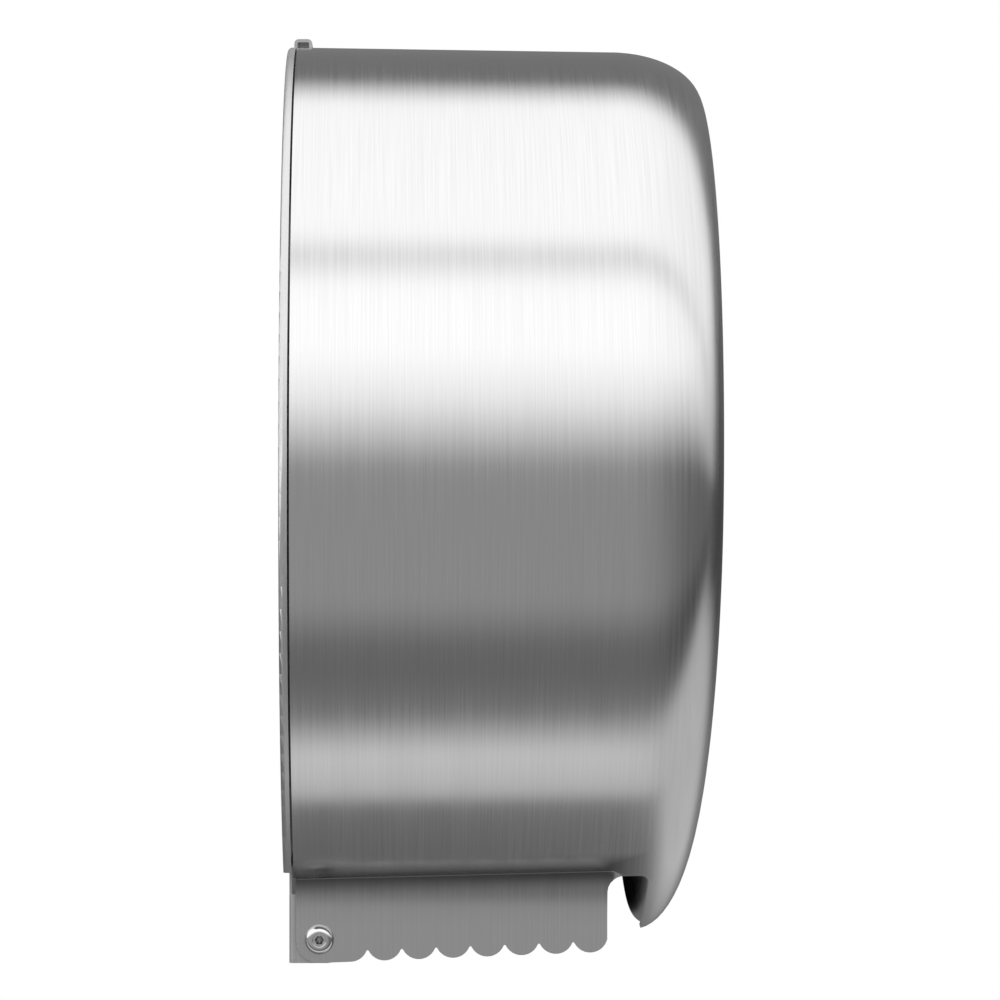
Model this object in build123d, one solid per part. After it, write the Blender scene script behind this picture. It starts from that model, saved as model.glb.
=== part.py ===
from build123d import *
import os
from math import asin, cos, hypot, pi, radians, sin, sqrt, tan

# Jumbo toilet roll dispenser: a drawn stainless drum that hinges down from a wall plate.
# Millimetres. The wall is the plane Y = 0, the spindle runs along Y through the origin,
# +Z is up and the front faces -Y. "Reach" is the distance forward of the wall, so Y = -reach.

# ---- driving dimensions -------------------------------------------------------------------

# cover: drum
SHEET = 1.0  # stainless sheet of the cover
DRUM_RADIUS = 136.8  # outside, at the rear edge
DRAFT = 0.88  # degrees that the drum narrows towards the front
COVER_REAR = 3.0  # reach of the cover's rear edge
COVER_FRONT = 124.3  # reach of the flat front face, at the spindle
FRONT_LEAN = 0.6  # degrees that the front face leans forward at the top
CORNER_REACH = 27.0  # the rounded front edge is an ellipse: this far along the reach
CORNER_SIDE = 15.2  # and this far towards the spindle
CHIN_REACH = 16.6  # the bottom of the drum falls back more: this far along the reach
CHIN_HEIGHT = 38.4  # and this far in height

# cover: skirts, tear lobes, notch and lip
SKIRT_HALF_WIDTH = 74.0  # outer faces of the two skirts
NECK_BEND = 8.0  # concave bend from drum to skirt
SKIRT_REAR_RADIUS = 6.85  # rear lower corner, about the hinge
SKIRT_FRONT = 94.4  # reach of the skirt's front edge
LOBE_PITCH = 10.0
LOBE_DEPTH = 3.85
LOBE_COUNT = 7
LOBE_ROOT = 0.35  # radius in each notch between lobes
EDGE_RISE = 0.0385  # the lobed edge climbs this much per millimetre of reach
NOTCH_RISE = 24.4  # from the drum's lowest point up to the notch's top edge
NOTCH_REAR_RADIUS = 4.5
NOTCH_FRONT_RADIUS = 2.5
LIP_SIDE = 106.6  # reach of the front lip's edge at the sides
LIP_BOW = 3.0  # how much further forward it runs in the middle

# hinge
HINGE_REACH = 10.4
HINGE_RISE = 5.8  # from the drum's lowest point up to the hinge
SCREW_RADIUS = 2.5
SCREW_HEAD_RADIUS = 4.3
SCREW_HEAD_HEIGHT = 2.4
SCREW_SOCKET = 2.5  # across the flats of the hexagon
BUSH_WALL = 1.1
BUSH_FLANGE_RADIUS = 5.6
NUT_RADIUS = 4.0
NUT_HEIGHT = 3.8
NUT_SPIGOT_RADIUS = 3.2

# wall plate
PLATE = 0.8  # sheet of the wall plate
RING_WIDTH = 16.8  # the outer ring that rests on the wall
LAP = 1.0  # width over which two levels of the pressing meet
RIM_REACH = 2.4  # the rim is turned forward to here
RIM_BEND = 1.2
NECK_RISE = 20.0  # the neck plate and the rim meet this far above the hinge
NECK_DROP = 7.1  # the neck plate ends this far below the hinge
NECK_GAP = 0.8  # between each ear and its skirt
EAR_REACH = 17.5
EAR_RISE = 13.0
EAR_CORNER = 5.0
WALL_HOLE_SPACING = 120.0  # square of four wall screws
WALL_HOLE_RADIUS = 3.25
WALL_PAD_RADIUS = 9.0

# latch
LATCH_SHEET = 1.0
LATCH_HALF_WIDTH = 9.0
LATCH_TRAVEL = 4.5
LATCH_STAND = 2.5  # top of the latch above the drum
LATCH_LIP_FRONT = 7.2
LATCH_LIP_DEPTH = 6.3
LATCH_BEND = 1.4
GUIDE_TOP = 8.0  # upper shouldered rivet, below the ring's inner edge
GUIDE_SPACING = 12.0
GUIDE_RADIUS = 2.5
GUIDE_HEAD_RADIUS = 4.4
GUIDE_HEAD = 1.1
GUIDE_TAIL_RADIUS = 1.8
TAB_DROP = 9.0  # underside of the fixed tab above the spring, below the lower rivet
TAB_HALF_WIDTH = 4.0
SPRING_ROOM = 25.0  # from the tab down to the foot that the spring stands on
SPRING_REACH = 5.7
SPRING_RADIUS = 2.3  # of the wire's centre line
SPRING_WIRE = 0.35
SPRING_TURNS = 9

# spindle
BRACKET_SHEET = 1.2
BRACKET_RADIUS = 34.0
BRACKET_REACH = 12.0
BOSS_RADIUS = 12.5
BOSS_FOOT_RADIUS = 19.0
BRACKET_RIVETS = 4
BRACKET_RIVET_CIRCLE = 26.5
RIVET_RADIUS = 2.0
RIVET_HEAD_RADIUS = 3.6
RIVET_HEAD = 1.4
AXLE_RADIUS = 5.0
AXLE_HEAD_RADIUS = 8.0
AXLE_HEAD = 2.2
AXLE_SHOULDER = 107.0
THREAD_RADIUS = 4.0
AXLE_END = 113.4
BRAKE_BOW = 0.9
BRAKE_THICKNESS = 0.5
BRAKE_OUTER = 9.5
END_WASHER = 1.2
END_WASHER_RADIUS = 8.5
NUT_FLATS = 13.0
AXLE_NUT_HEIGHT = 4.4

# spool
SPOOL_REAR = 13.8
SPOOL_FLANGE_RADIUS = 45.0
SPOOL_FLANGE = 2.5
SPOOL_TUBE_RADIUS = 14.5
SPOOL_FIN_RADIUS = 20.5
SPOOL_FIN = 2.4
SPOOL_FINS = 8
SPOOL_FIN_LEAD = 14.0  # length of the fins' sloping front ends
SPOOL_FRONT = 112.0
BUSH_RADIUS = 9.0
BUSH_LENGTH = 11.0
BUSH_FLANGE = 1.6
BUSH_FLANGE_OUTER = 11.5
CAP_SKIRT_RADIUS = 12.0
CAP_WALL = 1.4
CAP_SKIRT = 3.5
CAP_DOME = 2.6

# sight window in the front face
SIGHT_LENGTH = 84.0
SIGHT_WIDTH = 14.0
SIGHT_MARGIN = 8.1  # from the lens's upper end to the flat's edge
LENS_BORDER = 8.0
LENS_BASE = 1.6
LENS_LAND = 0.7
FRAME_SHEET = 0.8
STUD_RADIUS = 1.5
STUD_INSET = 3.8  # from the lens's edge
PUSH_NUT = 0.8
PUSH_NUT_RADIUS = 3.4

# clearances
SLIDE_GAP = 0.05  # latch on plate
RUNNING_FIT = 0.05  # shaft in bore, radial
END_PLAY = 0.15  # turning pieces, endways
LOOSE = 0.3  # a piece dropped into a cut-out
FAR = 200.0  # longer than anything here

# ---- sizes that follow --------------------------------------------------------------------

CORNER_START = COVER_FRONT - CORNER_REACH
CHIN_START = COVER_FRONT - CHIN_REACH
FLAT_RADIUS = DRUM_RADIUS - (CORNER_START - COVER_REAR) * tan(radians(DRAFT)) - CORNER_SIDE
SIGHT_CENTRE = FLAT_RADIUS - SIGHT_MARGIN - LENS_BORDER - SIGHT_LENGTH / 2
HINGE_HEIGHT = HINGE_RISE - DRUM_RADIUS
NOTCH_TOP = NOTCH_RISE - DRUM_RADIUS
EDGE_START = HINGE_HEIGHT - SKIRT_REAR_RADIUS
SKIRT_INNER = SKIRT_HALF_WIDTH - SHEET

RING_INNER = DRUM_RADIUS - RING_WIDTH
FIELD_REAR = PLATE  # the plate's middle stands one sheet off the wall
FIELD_FRONT = FIELD_REAR + PLATE
NECK_REAR = FIELD_FRONT  # and its neck two sheets
NECK_FRONT = NECK_REAR + PLATE
NECK_TOP = HINGE_HEIGHT + NECK_RISE
NECK_BOTTOM = HINGE_HEIGHT - NECK_DROP
EAR_OUTER = SKIRT_INNER - NECK_GAP
EAR_INNER = EAR_OUTER - PLATE
EAR_TOP = HINGE_HEIGHT + EAR_RISE

LATCH_REAR = FIELD_FRONT + SLIDE_GAP
LATCH_FRONT = LATCH_REAR + LATCH_SHEET
LATCH_TOP = DRUM_RADIUS + LATCH_STAND
GUIDE_HEIGHTS = (RING_INNER - GUIDE_TOP - GUIDE_SPACING, RING_INNER - GUIDE_TOP)
TAB_HEIGHT = GUIDE_HEIGHTS[0] - TAB_DROP
LATCH_FOOT = TAB_HEIGHT - SPRING_ROOM
SPINDLE = Axis((0, 0, 0), (0, -1, 0))

# sketch planes: across the spindle at a given reach, from above, and from the side
PLAN = Plane(origin=(0, 0, 0), x_dir=(1, 0, 0), z_dir=(0, 0, -1))
SIDE = Plane(origin=(0, 0, 0), x_dir=(0, -1, 0), z_dir=(-1, 0, 0))


def across(reach):
    """Plane square to the spindle: sketch x is X, sketch y is Z, extrusions run forward."""
    return Plane.XZ.offset(reach)


def leaning(reach):
    """The same for the front of the cover: turned about X, so its upper part is forward."""
    lean = radians(FRONT_LEAN)
    return Plane(origin=(0, -reach, 0), x_dir=(1, 0, 0), z_dir=(0, -cos(lean), -sin(lean)))


def slab(x_low, x_high, reach_low, reach_high, z_low, z_high):
    """Block between the given limits."""
    size = (x_high - x_low, reach_high - reach_low, z_high - z_low)
    middle = ((x_low + x_high) / 2, -(reach_low + reach_high) / 2, (z_low + z_high) / 2)
    return Pos(*middle) * Box(*size)


def disc(radius, start, end, x=0.0, z=0.0):
    """Cylinder along the reach."""
    return extrude(across(start) * Pos(x, z) * Circle(radius), end - start)


def front_disc(radius, start, end, place):
    """Cylinder square to the leaning front face, at a place (x, z) on it."""
    return extrude(leaning(start) * Pos(*place) * Circle(radius), end - start)


def cross_pin(radius, x_start, x_end, reach, z):
    """Cylinder along X."""
    sketch = Plane.YZ.offset(x_start) * Pos(-reach, z) * Circle(radius)
    return extrude(sketch, x_end - x_start)


def turned(points):
    """Solid of revolution about the spindle, from (radius, reach) points."""
    face = make_face(PLAN * Polyline(*points, close=True))
    return revolve(face, SPINDLE, 360)


def both_sides(piece):
    """The piece and its mirror image in the middle plane, as separate solids."""
    return Compound(children=[piece, mirror(piece, Plane.YZ)])


# ---- cover --------------------------------------------------------------------------------


def drum_radius(reach):
    return DRUM_RADIUS - (reach - COVER_REAR) * tan(radians(DRAFT))


def front_section(angle, inset):
    """Cross-section of the front edge, at an angle round its bend, inset from the outside.

    The upper half is a circle. The lower half is half an ellipse, because the chin falls back
    further than the rest of the edge.
    """
    reach = CORNER_START + (CORNER_REACH - inset) * sin(radians(angle))
    radius = FLAT_RADIUS + (CORNER_SIDE - inset) * cos(radians(angle))
    depth = drum_radius(CORNER_START) - inset
    if reach > CHIN_START:
        share = min(1.0, (reach - CHIN_START) / (CHIN_REACH - inset))
        fall = (CHIN_HEIGHT - inset) * (1.0 - sqrt(1.0 - share * share))
        depth = depth - fall
    upper = CenterArc((0, 0), radius, 0, 180)
    lower = EllipticalCenterArc((0, 0), radius, depth, 180, arc_size=180)
    return make_face(leaning(reach) * Wire([upper, lower]))


def keyhole(plane, reach, inset, bottom):
    """Cross-section of drum and neck together, with the concave bends between them."""
    radius = drum_radius(reach) - inset
    half = SKIRT_HALF_WIDTH - inset
    start = asin(half / radius)
    neck = Pos(0, bottom / 2) * Rectangle(2 * half, -bottom)
    outline = Circle(radius) + neck
    meet = -radius * cos(start)
    corners = [v for v in outline.vertices() if abs(v.Y - meet) < 0.5 and abs(v.X) > 1.0]
    return plane * fillet(corners, NECK_BEND + inset)


def drum_solid(inset, rear, bottom):
    """Drum, neck and front edge as one solid, inset from the cover's outside."""
    front = CORNER_START
    ends = [
        keyhole(across(rear), rear, inset, bottom),
        keyhole(leaning(front), front, inset, bottom),
    ]
    body = loft(ends, ruled=True)
    angles = (0, 12, 25, 38, 51, 63, 74, 83, 90)
    nose = loft([front_section(a, inset) for a in angles])
    return body + nose


def side_outline():
    """What is left of the cover seen from the side: drum, lobed skirt, notch and lip."""
    lobe_radius = (LOBE_PITCH ** 2 / 4 + LOBE_DEPTH ** 2) / (2 * LOBE_DEPTH)
    first_root = SKIRT_FRONT - LOBE_COUNT * LOBE_PITCH

    def edge(reach):
        return EDGE_START + (reach - HINGE_REACH) * EDGE_RISE

    def axis(reach):
        return edge(reach) + lobe_radius

    rear = HINGE_REACH - SKIRT_REAR_RADIUS
    half_lobe = first_root - LOBE_PITCH / 2
    skirt = Polygon(
        (rear, NOTCH_TOP),
        (rear, HINGE_HEIGHT),
        (HINGE_REACH, HINGE_HEIGHT),
        (HINGE_REACH, EDGE_START),
        (half_lobe, edge(half_lobe)),
        (half_lobe, axis(half_lobe)),
        (SKIRT_FRONT, axis(SKIRT_FRONT)),
        (SKIRT_FRONT, NOTCH_TOP),
        align=None,
    )
    outline = skirt + Pos(HINGE_REACH, HINGE_HEIGHT) * Circle(SKIRT_REAR_RADIUS)
    for number in range(LOBE_COUNT + 1):
        centre = half_lobe + number * LOBE_PITCH
        outline += Pos(centre, axis(centre)) * Circle(lobe_radius)
    # the last lobe's circle stands a little proud of the skirt's front edge
    outline -= Pos(SKIRT_FRONT + LOBE_PITCH / 2, -DRUM_RADIUS) * Rectangle(LOBE_PITCH, DRUM_RADIUS)
    upper = Pos(COVER_FRONT / 2, (FAR + NOTCH_TOP) / 2) * Rectangle(FAR, FAR - NOTCH_TOP)
    lip = Pos(LIP_SIDE + FAR / 4, NOTCH_TOP - FAR / 4) * Rectangle(FAR / 2, FAR / 2)
    outline = outline + upper + lip
    roots = [
        v
        for v in outline.vertices()
        if first_root - 1 < v.X < SKIRT_FRONT - 1 and v.Y < HINGE_HEIGHT + LOBE_DEPTH
    ]
    outline = fillet(roots, LOBE_ROOT)
    top = [v for v in outline.vertices() if abs(v.Y - NOTCH_TOP) < 0.01]
    rear_top = [v for v in top if abs(v.X - SKIRT_FRONT) < 0.01]
    outline = fillet(rear_top, NOTCH_REAR_RADIUS)
    front_top = [v for v in outline.vertices() if abs(v.X - LIP_SIDE) < 0.01]
    front_top = [v for v in front_top if abs(v.Y - NOTCH_TOP) < 0.01]
    return fillet(front_top, NOTCH_FRONT_RADIUS)


def lip_bow_cut():
    """The front lip's edge, seen from above, bows forward in the middle."""
    half = SKIRT_HALF_WIDTH
    chord = Line((-half, LIP_SIDE), (half, LIP_SIDE))
    bow = ThreePointArc((-half, LIP_SIDE), (0, LIP_SIDE + LIP_BOW), (half, LIP_SIDE))
    face = make_face(PLAN * Wire([chord, bow]))
    return Pos(0, 0, NOTCH_TOP) * extrude(face, FAR)


def stud_places():
    """Centres of the four studs round the sight window, as (x, z)."""
    half_width = SIGHT_WIDTH / 2 + LENS_BORDER - STUD_INSET
    half_length = SIGHT_LENGTH / 2 + LENS_BORDER - STUD_INSET
    return [
        (side * half_width, SIGHT_CENTRE + end * half_length)
        for side in (-1, 1)
        for end in (-1, 1)
    ]


def make_cover():
    outside = drum_solid(0.0, COVER_REAR, -1.1 * DRUM_RADIUS)
    inside = drum_solid(SHEET, COVER_REAR - 1.0, -1.2 * DRUM_RADIUS)
    cover = outside - inside
    cover = cover & extrude(SIDE * side_outline(), FAR, both=True)
    cover -= lip_bow_cut()
    # slot that the latch hooks into
    slot = SlotOverall(2 * LATCH_HALF_WIDTH + 4.0, LATCH_SHEET + 4 * LOOSE)
    middle = LATCH_LIP_FRONT - LATCH_SHEET / 2
    cover -= extrude(Plane.XY.offset(DRUM_RADIUS - 4.0) * Pos(0, -middle) * slot, FAR)
    # sight window
    window = leaning(COVER_FRONT - 2 * SHEET) * Pos(0, SIGHT_CENTRE)
    window = window * SlotOverall(SIGHT_LENGTH, SIGHT_WIDTH, rotation=90)
    cover -= extrude(window, FAR)
    # weld studs that carry the lens
    inner_face = COVER_FRONT - SHEET
    stud_end = inner_face - LENS_BASE - FRAME_SHEET - PUSH_NUT - 1.0
    for place in stud_places():
        cover += front_disc(STUD_RADIUS, stud_end, inner_face, place)
    hole = SCREW_RADIUS + RUNNING_FIT + BUSH_WALL
    cover -= cross_pin(hole, -FAR, FAR, HINGE_REACH, HINGE_HEIGHT)
    return cover


def make_sight_lens():
    """Smoked lens: a border behind the sheet and a raised land that fills the window."""
    inner_face = COVER_FRONT - SHEET
    width = SIGHT_WIDTH + 2 * LENS_BORDER
    length = SIGHT_LENGTH + 2 * LENS_BORDER
    border = leaning(inner_face - LENS_BASE) * Pos(0, SIGHT_CENTRE)
    lens = extrude(border * RectangleRounded(width, length, LENS_BORDER / 2), LENS_BASE)
    land = leaning(inner_face) * Pos(0, SIGHT_CENTRE)
    shape = SlotOverall(SIGHT_LENGTH - 2 * LOOSE, SIGHT_WIDTH - 2 * LOOSE, rotation=90)
    lens += extrude(land * shape, LENS_LAND)
    rear = inner_face - LENS_BASE - 1.0
    for place in stud_places():
        lens -= front_disc(STUD_RADIUS + LOOSE / 2, rear, inner_face + 1.0, place)
    return lens


def make_lens_frame():
    front = COVER_FRONT - SHEET - LENS_BASE
    width = SIGHT_WIDTH + 2 * LENS_BORDER
    length = SIGHT_LENGTH + 2 * LENS_BORDER
    rear = front - FRAME_SHEET
    outer = RectangleRounded(width, length, LENS_BORDER / 2)
    inner = SlotOverall(SIGHT_LENGTH, SIGHT_WIDTH, rotation=90)
    frame = extrude(leaning(rear) * Pos(0, SIGHT_CENTRE) * (outer - inner), FRAME_SHEET)
    for place in stud_places():
        frame -= front_disc(STUD_RADIUS + LOOSE / 2, rear - 1.0, front + 1.0, place)
    return frame


def make_push_nuts():
    """Dished push-on nuts on the four studs."""
    front = COVER_FRONT - SHEET - LENS_BASE - FRAME_SHEET
    nuts = []
    for place in stud_places():
        nut = front_disc(PUSH_NUT_RADIUS, front - PUSH_NUT, front, place)
        nut = chamfer(nut.edges().sort_by(Axis.Y)[-1], PUSH_NUT / 3)
        nuts.append(nut - front_disc(STUD_RADIUS, front - 2.0, front + 2.0, place))
    return Compound(children=nuts)


# ---- hinge --------------------------------------------------------------------------------


def hinge_turned(points):
    """Solid of revolution about the hinge, from (radius, x) points on the right-hand side."""
    flat = Plane(origin=(0, -HINGE_REACH, HINGE_HEIGHT), x_dir=(0, 0, 1), z_dir=(0, -1, 0))
    face = make_face(flat * Polyline(*points, close=True))
    return revolve(face, Axis((0, -HINGE_REACH, HINGE_HEIGHT), (1, 0, 0)), 360)


def make_hinge_screws():
    """Button-head screws with a hexagon socket, one through each skirt."""
    under = SKIRT_HALF_WIDTH + END_PLAY
    tip = EAR_INNER - NUT_HEIGHT - 0.8
    place = Plane.YZ.offset(under) * Pos(-HINGE_REACH, HINGE_HEIGHT)
    head = extrude(place * Circle(SCREW_HEAD_RADIUS), SCREW_HEAD_HEIGHT)
    rim = head.edges().sort_by(Axis.X)[-1]
    head = fillet(rim, SCREW_HEAD_HEIGHT * 0.88)
    place = Plane.YZ.offset(under + SCREW_HEAD_HEIGHT) * Pos(-HINGE_REACH, HINGE_HEIGHT)
    flats = RegularPolygon(SCREW_SOCKET / 2, 6, major_radius=False)
    head -= extrude(place * flats, -0.6 * SCREW_HEAD_HEIGHT)
    shank = cross_pin(SCREW_RADIUS, tip, under, HINGE_REACH, HINGE_HEIGHT)
    shank = chamfer(shank.edges().sort_by(Axis.X)[0], 0.5)
    return both_sides(head + shank)


def make_hinge_bushes():
    """Flanged plastic bushes pressed into the skirts; they turn on the screws."""
    bore = SCREW_RADIUS + RUNNING_FIT
    sleeve = bore + BUSH_WALL
    flange_face = EAR_OUTER + END_PLAY
    outline = [
        (bore, flange_face),
        (BUSH_FLANGE_RADIUS, flange_face),
        (BUSH_FLANGE_RADIUS, SKIRT_INNER),
        (sleeve, SKIRT_INNER),
        (sleeve, SKIRT_HALF_WIDTH),
        (bore, SKIRT_HALF_WIDTH),
    ]
    return both_sides(hinge_turned(outline))


def make_hinge_nuts():
    """Round nuts clinched into the ears from inside."""
    outline = [
        (SCREW_RADIUS, EAR_INNER - NUT_HEIGHT),
        (NUT_RADIUS, EAR_INNER - NUT_HEIGHT),
        (NUT_RADIUS, EAR_INNER),
        (NUT_SPIGOT_RADIUS, EAR_INNER),
        (NUT_SPIGOT_RADIUS, EAR_OUTER),
        (SCREW_RADIUS, EAR_OUTER),
    ]
    return both_sides(hinge_turned(outline))


# ---- wall plate ---------------------------------------------------------------------------


def rim_ring():
    """Ring that rests on the wall, with the rim turned forward round it."""
    inner = DRUM_RADIUS - PLATE
    bend_centre = DRUM_RADIUS - RIM_BEND
    outline = Polyline(
        (RING_INNER, 0),
        (DRUM_RADIUS, 0),
        (DRUM_RADIUS, RIM_REACH),
        (inner, RIM_REACH),
        (inner, PLATE),
        (RING_INNER, PLATE),
        close=True,
    )
    face = make_face(outline)
    outer_corner = [v for v in face.vertices() if v.X > bend_centre + 1.0 and v.Y < 0.01]
    face = fillet(outer_corner, RIM_BEND)
    inner_corner = [v for v in face.vertices() if abs(v.X - inner) < 0.01 and abs(v.Y - PLATE) < 0.01]
    face = fillet(inner_corner, RIM_BEND - PLATE)
    return revolve(PLAN * face, SPINDLE, 360)


def neck_and_ears():
    """Neck plate whose sides are bent forward into the two hinge ears."""
    outer = Pos(0, (NECK_REAR + EAR_REACH) / 2) * Rectangle(2 * EAR_OUTER, EAR_REACH - NECK_REAR)
    inner = Pos(0, NECK_FRONT + FAR / 2) * Rectangle(2 * EAR_INNER, FAR)
    outer = fillet([v for v in outer.vertices() if v.Y < NECK_FRONT], RIM_BEND)
    section = outer - inner
    section = fillet(
        [v for v in section.vertices() if abs(v.Y - NECK_FRONT) < 0.01], RIM_BEND - PLATE
    )
    channel = Pos(0, 0, EAR_TOP) * extrude(PLAN * section, EAR_TOP - NECK_BOTTOM)
    middle = (NECK_BOTTOM + EAR_TOP) / 2
    cheek = Pos(EAR_REACH / 2, middle) * Rectangle(EAR_REACH, EAR_TOP - NECK_BOTTOM)
    front = [v for v in cheek.vertices() if v.X > EAR_REACH / 2]
    cheek = fillet(front, EAR_CORNER)
    channel = channel & extrude(SIDE * cheek, FAR, both=True)
    flat = EAR_OUTER - RIM_BEND
    neck = slab(-flat, flat, NECK_REAR, NECK_FRONT, EAR_TOP, NECK_TOP + LAP)
    field = slab(-EAR_OUTER, EAR_OUTER, FIELD_REAR, FIELD_FRONT, NECK_TOP, -RING_INNER * 0.8)
    return channel + neck + field


def wall_holes():
    half = WALL_HOLE_SPACING / 2
    return [(x, z) for x in (-half, half) for z in (-half, half)]


def make_back_plate():
    ring = rim_ring()
    # the ring stops at the neck, and the rim stops above the ears
    gap = EAR_OUTER - 2 * LAP
    ring -= slab(-gap, gap, -1, FAR, -FAR, -RING_INNER * 0.7)
    ring -= slab(-FAR, FAR, -1, FAR, -FAR, NECK_TOP)
    # the latch passes the rim here
    pass_half = LATCH_HALF_WIDTH + 4 * LOOSE
    ring -= slab(-pass_half, pass_half, RIM_BEND, FAR, RING_INNER, FAR)
    field = disc(RING_INNER + LAP, FIELD_REAR, FIELD_FRONT)
    plate = ring + field + neck_and_ears()
    for x, z in wall_holes():
        plate -= disc(WALL_PAD_RADIUS - LAP, FIELD_REAR, FIELD_FRONT, x, z)
        plate += disc(WALL_PAD_RADIUS, 0, PLATE, x, z)
        plate -= disc(WALL_HOLE_RADIUS, -1, PLATE + 1, x, z)
    # tab lanced forward above the spring, and the window that it leaves
    tab_front = SPRING_REACH + SPRING_RADIUS + SPRING_WIRE + 0.6
    window_bottom = TAB_HEIGHT - (tab_front - FIELD_FRONT)
    plate -= slab(-TAB_HALF_WIDTH, TAB_HALF_WIDTH, -1, FIELD_FRONT, window_bottom, TAB_HEIGHT)
    tab = slab(
        -TAB_HALF_WIDTH, TAB_HALF_WIDTH, FIELD_REAR, tab_front, TAB_HEIGHT, TAB_HEIGHT + PLATE
    )
    plate += fillet(tab.edges().filter_by(Axis.Z).sort_by(Axis.Y)[:2], 1.5)
    for z in GUIDE_HEIGHTS:
        plate -= disc(GUIDE_TAIL_RADIUS, -1, FIELD_FRONT + 1, 0, z)
    for x, z in bracket_rivet_places():
        plate -= disc(RIVET_RADIUS, -1, FIELD_FRONT + 1, x, z)
    plate -= cross_pin(NUT_SPIGOT_RADIUS, -FAR, FAR, HINGE_REACH, HINGE_HEIGHT)
    return plate


# ---- latch --------------------------------------------------------------------------------


def make_latch_hook():
    """Bent strip: foot for the spring, slotted shank, bar over the cover, lip turned down."""
    foot_front = SPRING_REACH + SPRING_RADIUS + SPRING_WIRE + 0.6
    path = Polyline(
        (foot_front, LATCH_FOOT + LATCH_SHEET / 2),
        (LATCH_REAR + LATCH_SHEET / 2, LATCH_FOOT + LATCH_SHEET / 2),
        (LATCH_REAR + LATCH_SHEET / 2, LATCH_TOP - LATCH_SHEET / 2),
        (LATCH_LIP_FRONT - LATCH_SHEET / 2, LATCH_TOP - LATCH_SHEET / 2),
        (LATCH_LIP_FRONT - LATCH_SHEET / 2, LATCH_TOP - LATCH_LIP_DEPTH),
    )
    bent = fillet(path.vertices()[1:4], LATCH_BEND - LATCH_SHEET / 2)
    section = make_face(offset(bent, LATCH_SHEET / 2, side=Side.BOTH, closed=True))
    strip = extrude(SIDE * section, LATCH_HALF_WIDTH, both=True)
    # slots on the shouldered rivets
    half = GUIDE_RADIUS + SLIDE_GAP
    for z in GUIDE_HEIGHTS:
        low = z - LATCH_TRAVEL - half - SLIDE_GAP
        slot = SlotOverall(z + half - low + SLIDE_GAP, 2 * half, rotation=90)
        middle = (low + z + half + SLIDE_GAP) / 2
        strip -= extrude(across(FIELD_REAR) * Pos(0, middle) * slot, LATCH_FRONT)
    # window round the fixed tab
    room = TAB_HALF_WIDTH + LOOSE * 2
    low = TAB_HEIGHT - LATCH_TRAVEL - LOOSE * 2
    high = TAB_HEIGHT + PLATE + LOOSE * 2
    strip -= slab(-room, room, FIELD_REAR, LATCH_FRONT + 0.5, low, high)
    return strip


def make_latch_rivets():
    """Shouldered rivets that the latch slides on."""
    rivets = []
    for z in GUIDE_HEIGHTS:
        shoulder = LATCH_FRONT + SLIDE_GAP
        rivet = disc(GUIDE_TAIL_RADIUS, FIELD_REAR, FIELD_FRONT, 0, z)
        rivet += disc(GUIDE_RADIUS, FIELD_FRONT, shoulder, 0, z)
        head = disc(GUIDE_HEAD_RADIUS, shoulder, shoulder + GUIDE_HEAD, 0, z)
        rivets.append(rivet + fillet(head.edges().sort_by(Axis.Y)[0], GUIDE_HEAD * 0.7))
    return Compound(children=rivets)


def spring_point(turn, low, high):
    share = turn / SPRING_TURNS
    angle = 2 * pi * turn
    return (
        SPRING_RADIUS * cos(angle),
        -SPRING_REACH + SPRING_RADIUS * sin(angle),
        low + share * (high - low),
    )


def make_latch_spring():
    """Compression spring between the latch's foot and the fixed tab."""
    seat = SPRING_WIRE + SLIDE_GAP
    low = LATCH_FOOT + LATCH_SHEET + seat
    high = TAB_HEIGHT - seat
    pitch = (high - low) / SPRING_TURNS
    helix = Pos(0, -SPRING_REACH, low) * Helix(pitch, high - low, SPRING_RADIUS)
    start = Plane(origin=helix @ 0, z_dir=helix % 0)
    spring = sweep(start * Circle(SPRING_WIRE), path=helix, is_frenet=True)
    steps = 48
    points = [
        spring_point(step / steps, low, high) for step in range(SPRING_TURNS * steps + 1)
    ]
    gap = min(
        hypot(a[0] - b[0], a[1] - b[1], a[2] - b[2])
        for number, a in enumerate(points)
        for b in points[number + steps // 2:]
    )
    print("latch spring: least gap to itself", round(gap - 2 * SPRING_WIRE, 2), "mm")
    return spring


# ---- spindle ------------------------------------------------------------------------------


def bracket_rivet_places():
    places = []
    for number in range(BRACKET_RIVETS):
        angle = radians(45 + 360 / BRACKET_RIVETS * number)
        places.append((BRACKET_RIVET_CIRCLE * cos(angle), BRACKET_RIVET_CIRCLE * sin(angle)))
    return places


def make_axle_bracket():
    """Pressed cup: flange on the plate, tapered wall, flat top that grips the axle."""
    foot = FIELD_FRONT
    top = BRACKET_REACH
    sheet = BRACKET_SHEET
    bracket = turned(
        [
            (BOSS_FOOT_RADIUS - sheet, foot),
            (BRACKET_RADIUS, foot),
            (BRACKET_RADIUS, foot + sheet),
            (BOSS_FOOT_RADIUS, foot + sheet),
            (BOSS_RADIUS, top),
            (AXLE_RADIUS, top),
            (AXLE_RADIUS, top - sheet),
            (BOSS_RADIUS - sheet, top - sheet),
        ]
    )
    for x, z in bracket_rivet_places():
        bracket -= disc(RIVET_RADIUS, foot - 1, foot + sheet + 1, x, z)
    return bracket


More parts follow.
